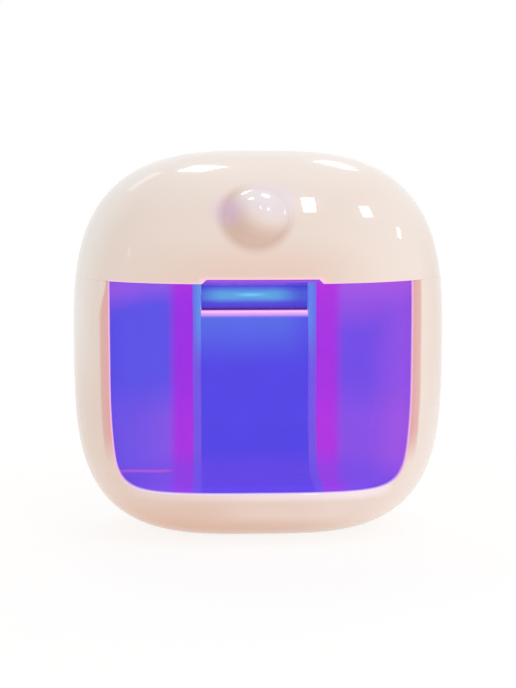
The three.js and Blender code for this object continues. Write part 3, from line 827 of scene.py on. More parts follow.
    def build(self) -> Material:
        """Returns the material."""
        tree = Tree(self.name)
        base = self.painted_side_shading(tree, self.cloud_and_painted_foot_shading(tree))
        self.painted_lamp_light(tree, self.painted_lip_shading(tree, self.painted_dome_shading(tree, base)))
        tree.feed("Roughness", tree.scaled(tree.noise(0.5, 3.0), 0.06, self.roughness - 0.03))
        tree.feed("Coat Weight", tree.span(tree.grazing(), 1.2, 0.1))
        tree.set(Emission_Strength=1.0, Specular_IOR_Level=0.15, IOR=1.5, Coat_Roughness=0.02)
        tree.bump(tree.noise(0.9), 0.004, 0.5)
        return tree.material


@dataclass(frozen=True)
class LitChamber:
    """Smooth moulded plastic of the chamber, in the light of its violet lamps, which is painted as
    glow.

    Each kind of wall has its own tone of painted lamp light and one for where that light gathers.
    """

    name: str = "chamber_lit"
    # A dark base under the painted glow, which alone gives the walls their colour.
    plastic: tuple = srgb(22, 14, 52)
    plastic_second: tuple = srgb(28, 20, 62)
    # Painted lamp light: a tone for each kind of wall, and lit or low ones where the light gathers
    # or falls off.
    flank: tuple = srgb(90, 82, 230)
    flank_right: tuple = srgb(114, 76, 230)
    flank_lit: tuple = srgb(150, 90, 230)
    flank_lit_right: tuple = srgb(176, 90, 228)
    strip: tuple = srgb(160, 46, 226)
    strip_lit: tuple = srgb(184, 52, 224)
    # Painted highlight on the ribs' inner edges.
    rib: tuple = srgb(100, 116, 232)
    rib_painted_highlight: tuple = srgb(96, 152, 232)
    rib_low: tuple = srgb(116, 88, 228)
    panel: tuple = srgb(88, 112, 232)
    panel_low: tuple = srgb(80, 68, 228)
    floor: tuple = srgb(112, 72, 232)
    # A painted line of light where the left flank meets the floor.
    crease: tuple = srgb(200, 92, 208)
    # Painted light on the ledge, brighter at its top.
    ledge_low: tuple = srgb(180, 130, 241)
    ledge_lit: tuple = srgb(246, 190, 251)
    ledge: float = LEDGE
    rib_inner: float = 15.2
    rib_outer: float = 17.4
    strip_inner: float = 21.4
    strip_outer: float = 25.4
    crease_foot: float = 15.6
    crease_rise: float = 0.222
    back_y: float = 28.9
    roughness: float = 0.32

    def painted_flank_light(self, tree: Tree, right: Socket, low: Socket, crown: Socket) -> Socket:
        """Paints the lamp light on the flanks: more violet near the hood, low down and at the
        outer right.

        Args:
            tree: The material's nodes.
            right: How far to the right a place lies.
            low: How far below the middle it lies.
            crown: How near the hood it lies.

        Returns:
            The flanks' colour.
        """
        across = tree.axis("X")
        near = tree.times(tree.span(across, -35, -25), tree.span(across, 0, -1))
        gathered = tree.times(low, tree.scaled(near, 0.35, 0.3))
        gathered = tree.scaled(tree.ease(across, 30, 43), 0.5, gathered)
        return tree.mix(tree.sum("MAXIMUM", crown, gathered),
                        tree.mix(right, self.flank, self.flank_right),
                        tree.mix(right, self.flank_lit, self.flank_lit_right))

    def painted_rib_and_channel_light(self, tree: Tree, off: Socket, right: Socket, low: Socket) -> Socket:
        """Paints the lamp light on the ribs, with a highlight at their inner edges, and on the
        channel between them.

        Args:
            tree: The material's nodes.
            off: How far a place lies from the middle.
            right: How far to the right it lies.
            low: How far below the middle it lies.

        Returns:
            The colour of ribs and channel.
        """
        inward = tree.times(tree.span(off, self.rib_outer, self.rib_inner + 0.4),
                            tree.scaled(right, -0.5, 1.0))
        rib = tree.mix(low, tree.mix(inward, self.rib, self.rib_painted_highlight), self.rib_low)
        panel = tree.mix(low, self.panel, self.panel_low)
        # Painted shade: the channel's panel darker towards its right end.
        dimmed = tree.times(tree.span(tree.axis("X"), 8, 15), 0.6)
        panel = tree.mix(dimmed, panel, self.panel_low)
        return tree.mix(tree.span(off, self.rib_inner + 0.3, self.rib_inner), rib, panel)

    def walls(self, tree: Tree, height: Socket) -> Socket:
        """Returns the walls' painted lamp light: flanks, slanted strips, ribs and channel in their
        places.
        """
        wobble = tree.scaled(tree.noise(0.07), 0.3, -0.15)
        across = tree.sum("ADD", tree.axis("X"), wobble)
        off = tree.off(across)
        aside = tree.span(off, self.rib_outer - 0.1, self.rib_outer + 0.2)
        right = tree.span(across, -20, 22)
        raised = tree.between(aside, tree.ease(height, 38, 57), tree.ease(height, 24, 40))
        low = tree.sum("SUBTRACT", 1.0, raised)
        far_left = tree.scaled(tree.span(across, -30, -42), 3.0, height)
        lit_from = tree.between(right, tree.ease(far_left, 57.5, 66.5),
                                tree.span(height, 50.5, 67))
        crown = tree.between(aside, tree.ease(height, 59.5, 65), lit_from)
        wall = self.painted_flank_light(tree, right, low, crown)
        gathered = tree.times(tree.sum("MAXIMUM", crown, tree.times(low, 0.75)), 0.6)
        strip = tree.mix(tree.scaled(right, 0.4, gathered), self.strip, self.strip_lit)
        wall = tree.mix(tree.ease(off, self.strip_outer, self.strip_inner), wall, strip)
        return tree.mix(tree.span(off, self.rib_outer + 0.35, self.rib_outer), wall,
                        self.painted_rib_and_channel_light(tree, off, right, low))

    def painted_ledge_light(self, tree: Tree, height: Socket, wall: Socket) -> Socket:
        """Paints light on the ledge and the top of the channel's panel under it."""
        edge = tree.times(tree.span(height, self.ledge - 1.65, self.ledge - 0.75),
                          tree.span(height, self.ledge + 0.6, self.ledge + 0.4),
                          tree.span(tree.off(tree.axis("X")), 15.32, 15.2),
                          tree.span(tree.axis("Y"), 24.8, 25.0))
        bright = tree.mix(tree.span(height, self.ledge - 1.4, self.ledge), self.ledge_low,
                          self.ledge_lit)
        return tree.mix(tree.sum("MAXIMUM", edge, tree.attribute("ledge_light")), wall, bright)

    def painted_crease_light(self, tree: Tree, height: Socket, wall: Socket) -> Socket:
        """Paints a fine line of light where the left flank meets the floor."""
        foot = tree.sum("ADD", tree.scaled(tree.axis("Y"), self.crease_rise, height),
                        tree.scaled(tree.noise(0.12), 0.8, -0.4))
        line = tree.times(tree.ease(tree.off(foot, self.crease_foot), 0.6, 0.15),
                          tree.span(tree.axis("X"), -22.5, -25.5),
                          tree.span(tree.axis("Y"), -4, 4), 0.65)
        return tree.mix(line, wall, self.crease)

    def build(self) -> Material:
        """Returns the material."""
        tree = Tree(self.name)
        height = tree.axis("Z")
        # Painted lamp light: the walls lean to the floor's tone low down.
        wall = tree.mix(tree.times(tree.ease(height, 18, 11), 0.5), self.walls(tree, height),
                        self.floor)
        wall = self.painted_crease_light(tree, height, self.painted_ledge_light(tree, height, wall))
        shade = tree.scaled(tree.noise(0.12, 3.0), 0.12, 0.94)
        # Painted shade: the glow stops behind the back wall, over the dark base.
        inside = tree.span(tree.axis("Y"), self.back_y + 0.3, self.back_y)
        tree.feed("Emission Color", tree.mix(1.0, wall, tree.times(shade, inside), "MULTIPLY"))
        tree.feed("Base Color", tree.mix(tree.noise(0.3), self.plastic, self.plastic_second))
        tree.set(Emission_Strength=0.96, Roughness=self.roughness, Specular_IOR_Level=0.06)
        tree.bump(tree.noise(2.5, 3.0), 0.006, 0.4)
        return tree.material


@dataclass(frozen=True)
class LitBarrel:
    """The hood's own plastic at the hinge, with violet lamp light painted as glow on the side that
    faces the chamber.
    """

    name: str = "hinge_lit"
    cyan_at: float = 0.32
    middle_x: float = -1.8
    gleam_x: float = -1.0
    gleam_z: float = 60.7
    shell: tuple = srgb(233, 213, 202)
    shell_second: tuple = srgb(228, 206, 194)
    # A dark base on the chamber side, under painted lamp light: blue, violet, a cyan band and spot
    # of highlight, and painted shade under the barrel and at its ends.
    plastic: tuple = srgb(24, 18, 56)
    blue: tuple = srgb(78, 68, 218)
    cyan: tuple = srgb(94, 168, 228)
    violet: tuple = srgb(134, 82, 226)
    violet_high: tuple = srgb(176, 96, 222)
    under: tuple = srgb(60, 24, 110)
    ends: tuple = srgb(66, 60, 212)
    gleam: tuple = srgb(118, 216, 248)
    low: float = 56.4
    high: float = 69.6
    roughness: float = 0.2

    def build(self) -> Material:
        """Returns the material."""
        tree = Tree(self.name)
        height = tree.span(tree.axis("Z"), self.low, self.high)
        # Painted lamp light: blue low, violet higher up, a cyan band of highlight across.
        glow = tree.mix(tree.span(height, 0.49, 0.57), self.blue, self.violet)
        glow = tree.mix(tree.span(height, 0.57, 1.0), glow, self.violet_high)
        glow = tree.mix(tree.ease(tree.off(height, self.cyan_at), 0.2, 0.03), glow, self.cyan)
        # Painted shade under the barrel, then at its ends.
        glow = tree.mix(tree.span(height, 0.03, 0.0), glow, self.under)
        ends = tree.ease(tree.off(tree.axis("X"), self.middle_x), 7.0, 15.6)
        glow = tree.mix(ends, glow, tree.mix(0.8, glow, self.ends))
        # Painted highlight: a cyan spot near the middle.
        gleam = tree.times(tree.ease(tree.off(tree.axis("X"), self.gleam_x), 6.0, 0.5),
                           tree.ease(tree.off(tree.axis("Z"), self.gleam_z), 0.7, 0.1), 0.8)
        glow = tree.mix(gleam, glow, self.gleam)
        lit = tree.attribute("lamp_glow")
        tree.feed("Emission Color", tree.mix(lit, BLACK, glow))
        shell = tree.mix(tree.noise(0.05), self.shell, self.shell_second)
        # A dark base where the painted glow gives the colour.
        tree.feed("Base Color", tree.mix(lit, shell, self.plastic))
        tree.set(Emission_Strength=0.94, Roughness=self.roughness, Specular_IOR_Level=0.2)
        tree.bump(tree.noise(0.9), 0.004, 0.5)
        return tree.material


@dataclass(frozen=True)
class ClearPane:
    """Clear violet-tinted pane with faint moulding waves."""

    name: str = "window_clear"
    tint: tuple = srgb(140, 108, 236)
    tint_second: tuple = srgb(150, 118, 240)

    def build(self) -> Material:
        """Returns the material."""
        tree = Tree(self.name)
        tree.feed("Base Color", tree.mix(tree.noise(0.06), self.tint, self.tint_second))
        tree.feed("Roughness", tree.scaled(tree.noise(0.4), 0.02, 0.02))
        tree.feed("Alpha", tree.scaled(tree.grazing(), 0.5, 0.02))
        tree.set(IOR=1.5)
        tree.bump(tree.noise(0.12), 0.01, 0.2)
        return tree.material


@dataclass(frozen=True)
class LitStop:
    """The rib under the barrel: painted light like the ledge below, painted shade along its top
    and its back.
    """

    name: str = "light_stop"
    # Painted light below, painted shade above and behind, over a dark base.
    lit: tuple = srgb(238, 184, 248)
    dark: tuple = srgb(84, 30, 124)
    back: tuple = srgb(30, 24, 40)
    plastic: tuple = srgb(30, 14, 48)
    edge: float = 56.24
    blur: float = 0.12

    def build(self) -> Material:
        """Returns the material."""
        tree = Tree(self.name)
        height = tree.scaled(tree.noise(0.4), 0.05, tree.axis("Z"))
        # Painted light below the edge and painted shade above it, then painted shade on the back.
        tone = tree.mix(tree.span(height, self.edge - self.blur, self.edge + self.blur),
                        self.lit, self.dark)
        tone = tree.mix(tree.span(tree.axis("Y"), 28.6, 28.95), tone, self.back)
        tree.feed("Emission Color", tone)
        tree.feed("Base Color", tree.mix(0.9, tone, self.plastic))
        tree.set(Emission_Strength=0.94, Roughness=0.5, Specular_IOR_Level=0.05)
        tree.bump(tree.noise(2.5, 3.0), 0.006, 0.4)
        return tree.material


class Surface(NamedTuple):
    """How fine, how deep and how drawn together a grain is."""

    scale: float
    depth: float
    stretch: Triple = (1, 1, 1)


class Grain(Enum):
    """The kinds of fine surface that plain finishes have."""

    MOULDED = Surface(2.2, 0.01)
    BRUSHED = Surface(3.0, 0.004, (0.15, 1, 6))
    SOFT = Surface(4.0, 0.02)
    FOAM = Surface(2.6, 0.12)
    BOARD = Surface(5.0, 0.008)


@dataclass(frozen=True)
class PlainFinish:
    """A finish of one kind of grain and two close colours that cloud into each other."""

    name: str
    colour: tuple
    second: tuple
    roughness: float
    grain: Grain
    metallic: float = 0.0
    alpha: float = 1.0
    glow: tuple | None = None
    glow_strength: float = 0.0
    cloud: float = 0.25
    rough_spread: float = 0.14
    glow_fall: float = 0.85

    def build(self) -> Material:
        """Returns the material."""
        scale, depth, stretch = self.grain.value
        tree = Tree(self.name)
        tree.feed("Base Color", tree.mix(tree.noise(self.cloud, 3.0), self.colour, self.second))
        smoothest = max(self.roughness - self.rough_spread / 2, 0.0)
        tree.feed("Roughness", tree.scaled(tree.noise(scale / 2, 3.0, stretch),
                                           self.rough_spread, smoothest))
        tree.set(Metallic=self.metallic, Alpha=self.alpha)
        if self.glow is not None:
            faint = (*[self.glow_fall * c for c in self.glow[:3]], 1)
            tree.feed("Emission Color", tree.mix(tree.noise(0.8), self.glow, faint))
            tree.set(Emission_Strength=self.glow_strength)
        tree.bump(tree.noise(scale, 3.0, stretch), depth, 0.6)
        return tree.material


@dataclass
class Finishes:
    """Every finish of the object, built once."""

    shell: Material = field(default_factory=lambda: GlossShell().build())
    chamber: Material = field(default_factory=lambda: LitChamber().build())
    barrel: Material = field(default_factory=lambda: LitBarrel().build())
    stop: Material = field(default_factory=lambda: LitStop().build())
    pane: Material = field(default_factory=lambda: ClearPane().build())
    plain: dict[str, Material] = field(default_factory=dict)

    def __post_init__(self) -> None:
        """Builds the plain finishes of the record's slots."""
        rows = (
            ("ceiling", PlainFinish("ceiling_satin", srgb(222, 214, 234), srgb(212, 202, 228),
                                    0.42, Grain.MOULDED)),
            ("rubber", PlainFinish("silicone_soft", srgb(207, 198, 204), srgb(196, 186, 194),
                                   0.78, Grain.SOFT)),
            ("steel", PlainFinish("steel_plated", srgb(196, 198, 202), srgb(176, 178, 184), 0.28,
                                  Grain.BRUSHED, metallic=1.0)),
            ("magnet", PlainFinish("magnet_nickel", srgb(160, 162, 168), srgb(140, 142, 150),
                                   0.34, Grain.BRUSHED, metallic=1.0)),
            ("board", PlainFinish("solder_mask", srgb(28, 104, 66), srgb(20, 86, 54), 0.45,
                                  Grain.BOARD)),
            ("component", PlainFinish("component_black", srgb(38, 38, 42), srgb(28, 28, 32), 0.5,
                                      Grain.MOULDED)),
            ("lamp", PlainFinish("lamp_phosphor", srgb(240, 232, 190), srgb(228, 214, 160), 0.35,
                                 Grain.MOULDED, glow=srgb(150, 90, 245), glow_strength=0.9)),
            ("quartz", PlainFinish("quartz_polished", srgb(226, 232, 246), srgb(214, 222, 242),
                                   0.09, Grain.MOULDED, alpha=0.35)),
            ("cell", PlainFinish("cell_foil", srgb(140, 150, 178), srgb(120, 132, 164), 0.4,
                                 Grain.BRUSHED, metallic=0.6)),
            ("foam", PlainFinish("foam_tape", srgb(60, 61, 66), srgb(46, 47, 52), 0.95,
                                 Grain.FOAM)),
            # Painted lamp light: the gasket glows violet.
            ("gasket", PlainFinish("silicone_lit", srgb(96, 70, 150), srgb(80, 60, 140), 0.7,
                                   Grain.SOFT, glow=srgb(150, 70, 214), glow_strength=0.8)),
            ("lead", PlainFinish("wire_sleeve", srgb(190, 40, 44), srgb(168, 30, 36), 0.45,
                                 Grain.MOULDED)),
        )
        for slot, finish in rows:
            self.plain[slot] = finish.build()


# Body


@dataclass
class Mouth:
    """The opening in the body's front, whose lip rolls inwards."""

    width: float = 76.4
    sill: float = 15.0
    parting: float = 69.1
    exponent: float = 11.0
    lip_width: float = 2.8
    lip_depth: float = 1.9
    narrowing: float = 0.012
    reach: float = 4.0
    far: float = 99.0
    straight: float = 0.6
    run_start: float = 0.042
    back_y: float = -8.5
    overrun: float = 2.0
    first_slope: float = 9.0
    steps: int = 14

    def outline(self, grow: float) -> Points:
        """Traces the mouth as X and Z, grown by a margin.

        Args:
            grow: The margin in millimetres.

        Returns:
            Points from the top right over the top left, round the sill and up again.
        """
        half, drop = self.width / 2 + grow, self.parting - self.sill + grow
        reach = lambda share: (1 - share ** self.exponent) ** (1 / self.exponent)
        sides = np.linspace(0, self.straight, 13)
        turns = np.linspace(self.run_start, 1 - self.run_start, 44) * QUARTER
        sills = np.linspace(self.straight, 0, 13)
        x = np.concatenate((reach(sides), np.cos(turns) ** (2 / self.exponent), sills))
        z = np.concatenate((sides, np.sin(turns) ** (2 / self.exponent), reach(sills)))
        x = x * (1 - self.narrowing * (1 - ramp_down(z, 0.5, 0.85)))
        left = np.stack((-x * half, self.parting - z * drop), axis=1)
        right = left[-2::-1] * (-1, 1)
        top = self.parting + 2 * self.overrun
        return np.concatenate((((half, top), (-half, top)), left, right))

    def ring(self, grow: float, y: Points | float) -> Points:
        """Returns the outline in space, at one y or at a y for each point."""
        flat = self.outline(grow)
        return np.stack((flat[:, 0], np.broadcast_to(y, len(flat)), flat[:, 1]), axis=1)

    def cutter(self, form: Form) -> Piece:
        """Builds what the mouth takes out of the wall, lip and all."""
        rings = []
        start = math.radians(self.first_slope)
        for step in range(self.steps + 1):
            turn = start + (QUARTER - start) * step / self.steps
            grow = self.lip_width * (1 - math.sin(turn)) / (1 - math.sin(start))
            flat = self.outline(grow)
            depth = self.lip_depth * (math.cos(start) - math.cos(turn))
            rings.append(self.ring(grow, form.front(flat[:, 0], flat[:, 1]) + depth))
        slope = self.lip_depth * math.sin(start) / (self.lip_width * math.cos(start))
        first = self.outline(self.lip_width + 1)
        before = self.ring(self.lip_width + 1,
                           form.front(first[:, 0] * 0.98, first[:, 1]) - slope - 0.15)
        return lofted("mouth_cut", [self.ring(self.lip_width + 1, -form.half_depth - 4), before,
                                    *rings, self.ring(0, self.back_y)])

    def pane_cutter(self, grow: float) -> Piece:
        """Builds a straight plug of the mouth's outline, grown by a margin."""
        return lofted("pane_cut", [self.ring(grow, -BEYOND), self.ring(grow, self.back_y)])

    def on_lip(self, form: Form) -> Callable[[Points], tuple[Points, Points]]:
        """Makes a rule that tells where points lie on the lip.

        Args:
            form: The form that the lip is cut into.

        Returns:
            The rule, from points to how far they lie from the mouth's inner edge in millimetres
            and how upright that edge is there, from 0 to 1.
        """
        flat = self.outline(0)

        def rule(points: Points) -> tuple[Points, Points]:
            """Returns the distance and the uprightness of each point."""
            away = np.full(len(points), self.far)
            upright = np.zeros(len(points))
            front = (points[:, 1] < self.back_y) & (points[:, 2] < self.parting + 1)
            place = points[front][:, (0, 2)]
            best, slope = away[front], upright[front]
            for a, b in zip(flat, np.roll(flat, -1, axis=0)):
                run = b - a
                share = np.clip(((place - a) @ run) / max(run @ run, 1e-9), 0, 1)
                length = np.linalg.norm(place - a - share[:, None] * run, axis=1)
                steep = abs(run[1]) / max(np.linalg.norm(run), 1e-9)
                slope = np.where(length < best, steep, slope)
                best = np.minimum(best, length)
            away[front], upright[front] = best, slope
            depth = points[:, 1] - form.front(points[:, 0], points[:, 2])
            away[(depth < 0.004) | (depth > self.lip_depth + 0.9)] = self.far
            return away, upright

        return rule

    def glow(self, form: Form) -> Rule:
        """Makes the rule for the painted lamp light on the lip: a thin line, wider along the sill.
        """
        on_lip = self.on_lip(form)

        def rule(points: Points) -> Points:
            """Returns the value of each point."""
            away, upright = on_lip(points)
            sill = ramp_down(upright, 0.2, 0.7)
            aside = 0.5 + 0.5 * np.clip((points[:, 0] + 25) / 35, 0, 1)
            return np.maximum(0.54 * ramp_down(away, 0.1, 0.45),
                              0.2 * sill * aside * ramp_down(away, 0.5, 2.9))

        return rule

    def nearness(self, form: Form) -> Rule:
        """Makes the rule for how near the inner edge the lip is, 1 at the edge itself."""
        on_lip = self.on_lip(form)
        return lambda points: 1 - on_lip(points)[0] / self.reach

    def uprightness(self, form: Form) -> Rule:
        """Makes the rule for how upright the inner edge is beside the lip."""
        on_lip = self.on_lip(form)
        return lambda points: on_lip(points)[1]


@dataclass
class BodyShell:
    """The lower shell, with the mouth in front and the hinge's cut-out at the back."""

    form: Form
    mouth: Mouth
    finishes: Finishes
    foot: float = 0.5
    top: float = 69.11
    sides: int = 240
    ear: float = 3.2
    pad_half: tuple[float, float] = (19.3, 8.3)
    pad_ceiling: float = 1.2
    pad_sides: int = 96
    overrun: float = 4.0

    def shell(self) -> Piece:
        """Builds the plain shell with a rounded rim, before anything is cut."""
        turns = circle(self.sides)
        shares = (0, 0.3, 0.6, 0.9)
        rings = [self.form.ring(self.foot, turns, share) for share in shares]
        rings += [self.form.ring(z, turns)
                  for z in self.form.heights(self.foot, self.top - ROUND_OUT, 64)]
        rings += rim(self.form, self.top, -1, turns)
        inner, floor = self.form.inset(WALL), self.foot + WALL
        rings += [inner.ring(z, turns)
                  for z in reversed(inner.heights(floor, self.top - ROUND_IN, 40))][1:]
        rings += [inner.ring(floor, turns, share) for share in reversed(shares)]
        return wrapped("body_shell_skin", rings)

    def ears(self) -> Piece:
        """Builds the two ears that hold the hinge pin."""
        piece = joined([rod("ear", BARREL, (side * CUT_HALF, HINGE_Y, HINGE_Z),
                            (side * (CUT_HALF + self.ear), HINGE_Y, HINGE_Z))
                        for side in (-1, 1)])
        turns = circle(self.sides)
        form = self.form.inset(0.05)
        carve(piece, lofted("ear_form", [form.ring(z, turns) for z in np.linspace(52, 67, 16)]),
              Carve.KEEP_COMMON)
        return piece

    def build(self) -> Piece:
        """Builds, dresses and hangs the body shell."""
        piece = self.shell()
        turns = circle(self.pad_sides)
        ellipse = np.stack((np.cos(turns), np.sin(turns)), axis=1) * self.pad_half
        carve(piece, joined([
            self.mouth.cutter(self.form),
            block("back_cut", (-CUT_HALF, HINGE_Y - BARREL - 2, LEDGE),
                  (CUT_HALF, BEYOND, self.top + self.overrun)),
            raised("pad_cut", ellipse, 2, (-2, self.pad_ceiling)),
        ]))
        smoothed(piece, SMOOTH)
        follow_forms(piece, (self.form, self.form.inset(WALL)))
        # Where the painted lamp glow and the painted shade on the lip go.
        spread(piece, "lamp_glow", self.mouth.glow(self.form))
        spread(piece, "lip_near", self.mouth.nearness(self.form))
        spread(piece, "lip_upright", self.mouth.uprightness(self.form))
        settle(piece, Body.BASE, "shell", self.finishes.shell, "body_shell")
        ears = self.ears()
        smoothed(ears)
        settle(named(ears, "hinge_ears"), Body.BASE, "shell", self.finishes.shell)
        return piece


@dataclass
class ChamberLiner:
    """The lit chamber inside the body: flanks, slanted strips, ribs, channel, ledge and floor."""

    form: Form
    mouth: Mouth
    finishes: Finishes
    floor: float = 10.9
    flank_y: float = 19.0
    channel_y: float = 25.5
    channel_half: float = 15.4
    rib_wall: float = 1.9
    rib_reach: float = 2.9
    slant: float = 6.1
    opening: float = 2.3
    prism_top: float = 90.0
    stop_top: float = 56.86
    stop_half: float = 15.2
    stop_front: float = 28.2
    stop_back: float = 29.0
    stop_slope: float = 0.4
    stop_rounding: float = 0.06
    cheek: float = 0.6
    cheek_back: float = 33.5
    cheek_inset: float = 0.7
    rounding: float = 0.45
    sides: int = 200

    def back_wall(self, back: float) -> Points:
        """Traces the chamber's back wall with its front side left wide.

        Args:
            back: How far the wall is drawn back.

        Returns:
            Points in X and Y, in order round the outline.
        """
        inner, outer = self.channel_half, self.channel_half + self.rib_wall
        rib = [] if back else [(inner, self.channel_y), (inner, self.channel_y - self.rib_reach),
                               (outer, self.channel_y - self.rib_reach)]
        side = self.form.half_width + 11
        shift = back * math.tan(math.pi / 8)
        half = [*rib, (outer + shift, self.channel_y + back),
                (outer + self.slant + shift, self.flank_y + back), (side, self.flank_y + back)]
        left = [(-x, y) for x, y in reversed(half)]
        return rounded_outline(np.array([(side, -BEYOND), (-side, -BEYOND), *left, *half]),
                               self.rounding)

    def filled(self, inset: float, low: float, high: float) -> Piece:
        """Builds the form between two heights as a closed solid."""
        turns = circle(self.sides)
        form = self.form.inset(inset)
        return lofted("chamber_form", [form.ring(z, turns) for z in form.heights(low, high, 44)])

    def prism(self, back: float, low: float, high: float) -> Piece:
        """Builds the back wall's outline raised between two heights."""
        return raised("wall_form", self.back_wall(back), 2, (low, high))

    def build(self) -> Piece:
        """Builds, dresses and hangs the liner."""
        piece = self.filled(LINER_INSET, self.floor - LINER_WALL, LINER_TOP)
        carve(piece, self.prism(LINER_WALL, 0, self.prism_top), Carve.KEEP_COMMON)
        hollow = self.filled(LINER_INSET + LINER_WALL, self.floor, LINER_TOP + 3)
        carve(hollow, self.prism(0, 0, self.prism_top), Carve.KEEP_COMMON)
        carve(piece, hollow)
        carve(piece, self.mouth.pane_cutter(self.opening))
        carve(piece, block("window_cut", (-CUT_HALF, self.channel_y - 0.3, LEDGE),
                           (CUT_HALF, BEYOND, LINER_TOP + 4)))
        smoothed(piece, SMOOTH)
        follow_forms(piece, (self.form.inset(LINER_INSET),
                             self.form.inset(LINER_INSET + LINER_WALL)))
        spread(piece, "ledge_light", lambda points: np.zeros(len(points)))
        settle(named(piece, "chamber_walls"), Body.BASE, "liner", self.finishes.chamber,
               "chamber_liner")
        self.shelf()
        self.light_stop()
        self.cheeks()
        return piece

    def shelf(self) -> None:
        """Builds the ledge under the hinge barrel."""
        shelf = self.filled(LINER_INSET, LEDGE - LINER_WALL, LEDGE)
        carve(shelf, block("shelf_cut", (-self.channel_half, self.channel_y + 0.02, 40),
                           (self.channel_half, BEYOND, 70)), Carve.KEEP_COMMON)
        bevelled(shelf, 0.25)
        smoothed(shelf, SMOOTH)
        # Painted light on the ledge's top.
        spread(shelf, "ledge_light", lambda points: 1.0 * (points[:, 2] > LEDGE - 0.6))
        settle(named(shelf, "chamber_ledge"), Body.BASE, "liner", self.finishes.chamber)

    def light_stop(self) -> None:
        """Builds the rib on the ledge, with painted shade along its top, that keeps lamp light
        from passing under the barrel.
        """
        low, high, back = LEDGE - 0.1, self.stop_top, self.stop_back
        section = np.array(((self.stop_front, low), (back, low), (back, high),
                            (back - self.stop_slope, high)))
        rib = raised("chamber_light_stop", rounded_outline(section, self.stop_rounding), 0,
                     (-self.stop_half, self.stop_half))
        smoothed(rib, 40)
        settle(rib, Body.BASE, "liner", self.finishes.stop)

    def cheeks(self) -> None:
        """Builds the two plates that shut the gap between liner and shell beside the barrel."""
        front = self.channel_y + LINER_WALL - 0.3
        piece = joined([block("cheek", (low, front, LEDGE - 1),
                              (low + self.cheek, self.cheek_back, LINER_TOP))
                        for low in (CUT_HALF, -CUT_HALF - self.cheek)])
        carve(piece, self.filled(self.cheek_inset, LEDGE - 3, LINER_TOP + 2), Carve.KEEP_COMMON)
        smoothed(piece, SMOOTH)
        settle(named(piece, "hinge_cheeks"), Body.BASE, "liner", self.finishes.chamber)


@dataclass
class FrontWindow:
    """The curved clear pane behind the lip."""

    form: Form
    mouth: Mouth
    finishes: Finishes
    overlap: float = 2.0
    bottom: float = 8.0
    rows: int = 40
    sides: int = 200

    def build(self) -> Piece:
        """Builds, dresses and hangs the window."""
        turns = circle(self.sides)
        outer, inner = self.form.inset(LINER_INSET), self.form.inset(LINER_INSET + LINER_WALL)
        span = self.bottom, LINER_TOP, self.rows
        rings = [outer.ring(z, turns) for z in outer.heights(*span)]
        rings += [inner.ring(z, turns) for z in reversed(inner.heights(*span))]
        piece = wrapped("window_pane", rings, closed=True)
        carve(piece, self.mouth.pane_cutter(self.overlap), Carve.KEEP_COMMON)
        smoothed(piece, SMOOTH)
        follow_forms(piece, (outer, inner))
        settle(piece, Body.BASE, "window", self.finishes.pane, "front_window")
        return piece


# Hood


@dataclass
class ButtonFrame:
    """The button's own frame on the hood's slope: X across, Z out of the hood."""

    form: Form
    x: float = -1.4
    z: float = 85.8

    def __post_init__(self) -> None:
        """Finds the button's place on the slope and the slope's two directions."""
        y = float(self.form.front(np.array(self.x), np.array(self.z)))
        self.origin = np.array((self.x, y, self.z))
        normal = self.form.normals(self.origin[None])[0] * (0, 1, 1)
        self.out = normal / np.linalg.norm(normal)
        self.up = np.array((0, self.out[2], -self.out[1]))

    def to_hood(self, points: Points) -> Points:
        """Turns places in the button's frame into places in space."""
        across = np.array((1.0, 0.0, 0.0))
        return (self.origin + points[:, :1] * across + points[:, 1:2] * self.up
                + points[:, 2:3] * self.out)

    def fall(self, x: Points, y: Points) -> Points:
        """Finds how far the hood's surface lies below the frame's plane.

        Args:
            x: Places across in the frame.
            y: Places up the slope in the frame.

        Returns:
            The fall at each place, in millimetres.
        """
        fall = np.zeros_like(x)
        for _ in range(30):
            level = self.form.level(self.to_hood(np.stack((x, y, -fall), axis=1)))
            fall = fall + (level - 1) * self.form.half_depth * 0.8
        return fall


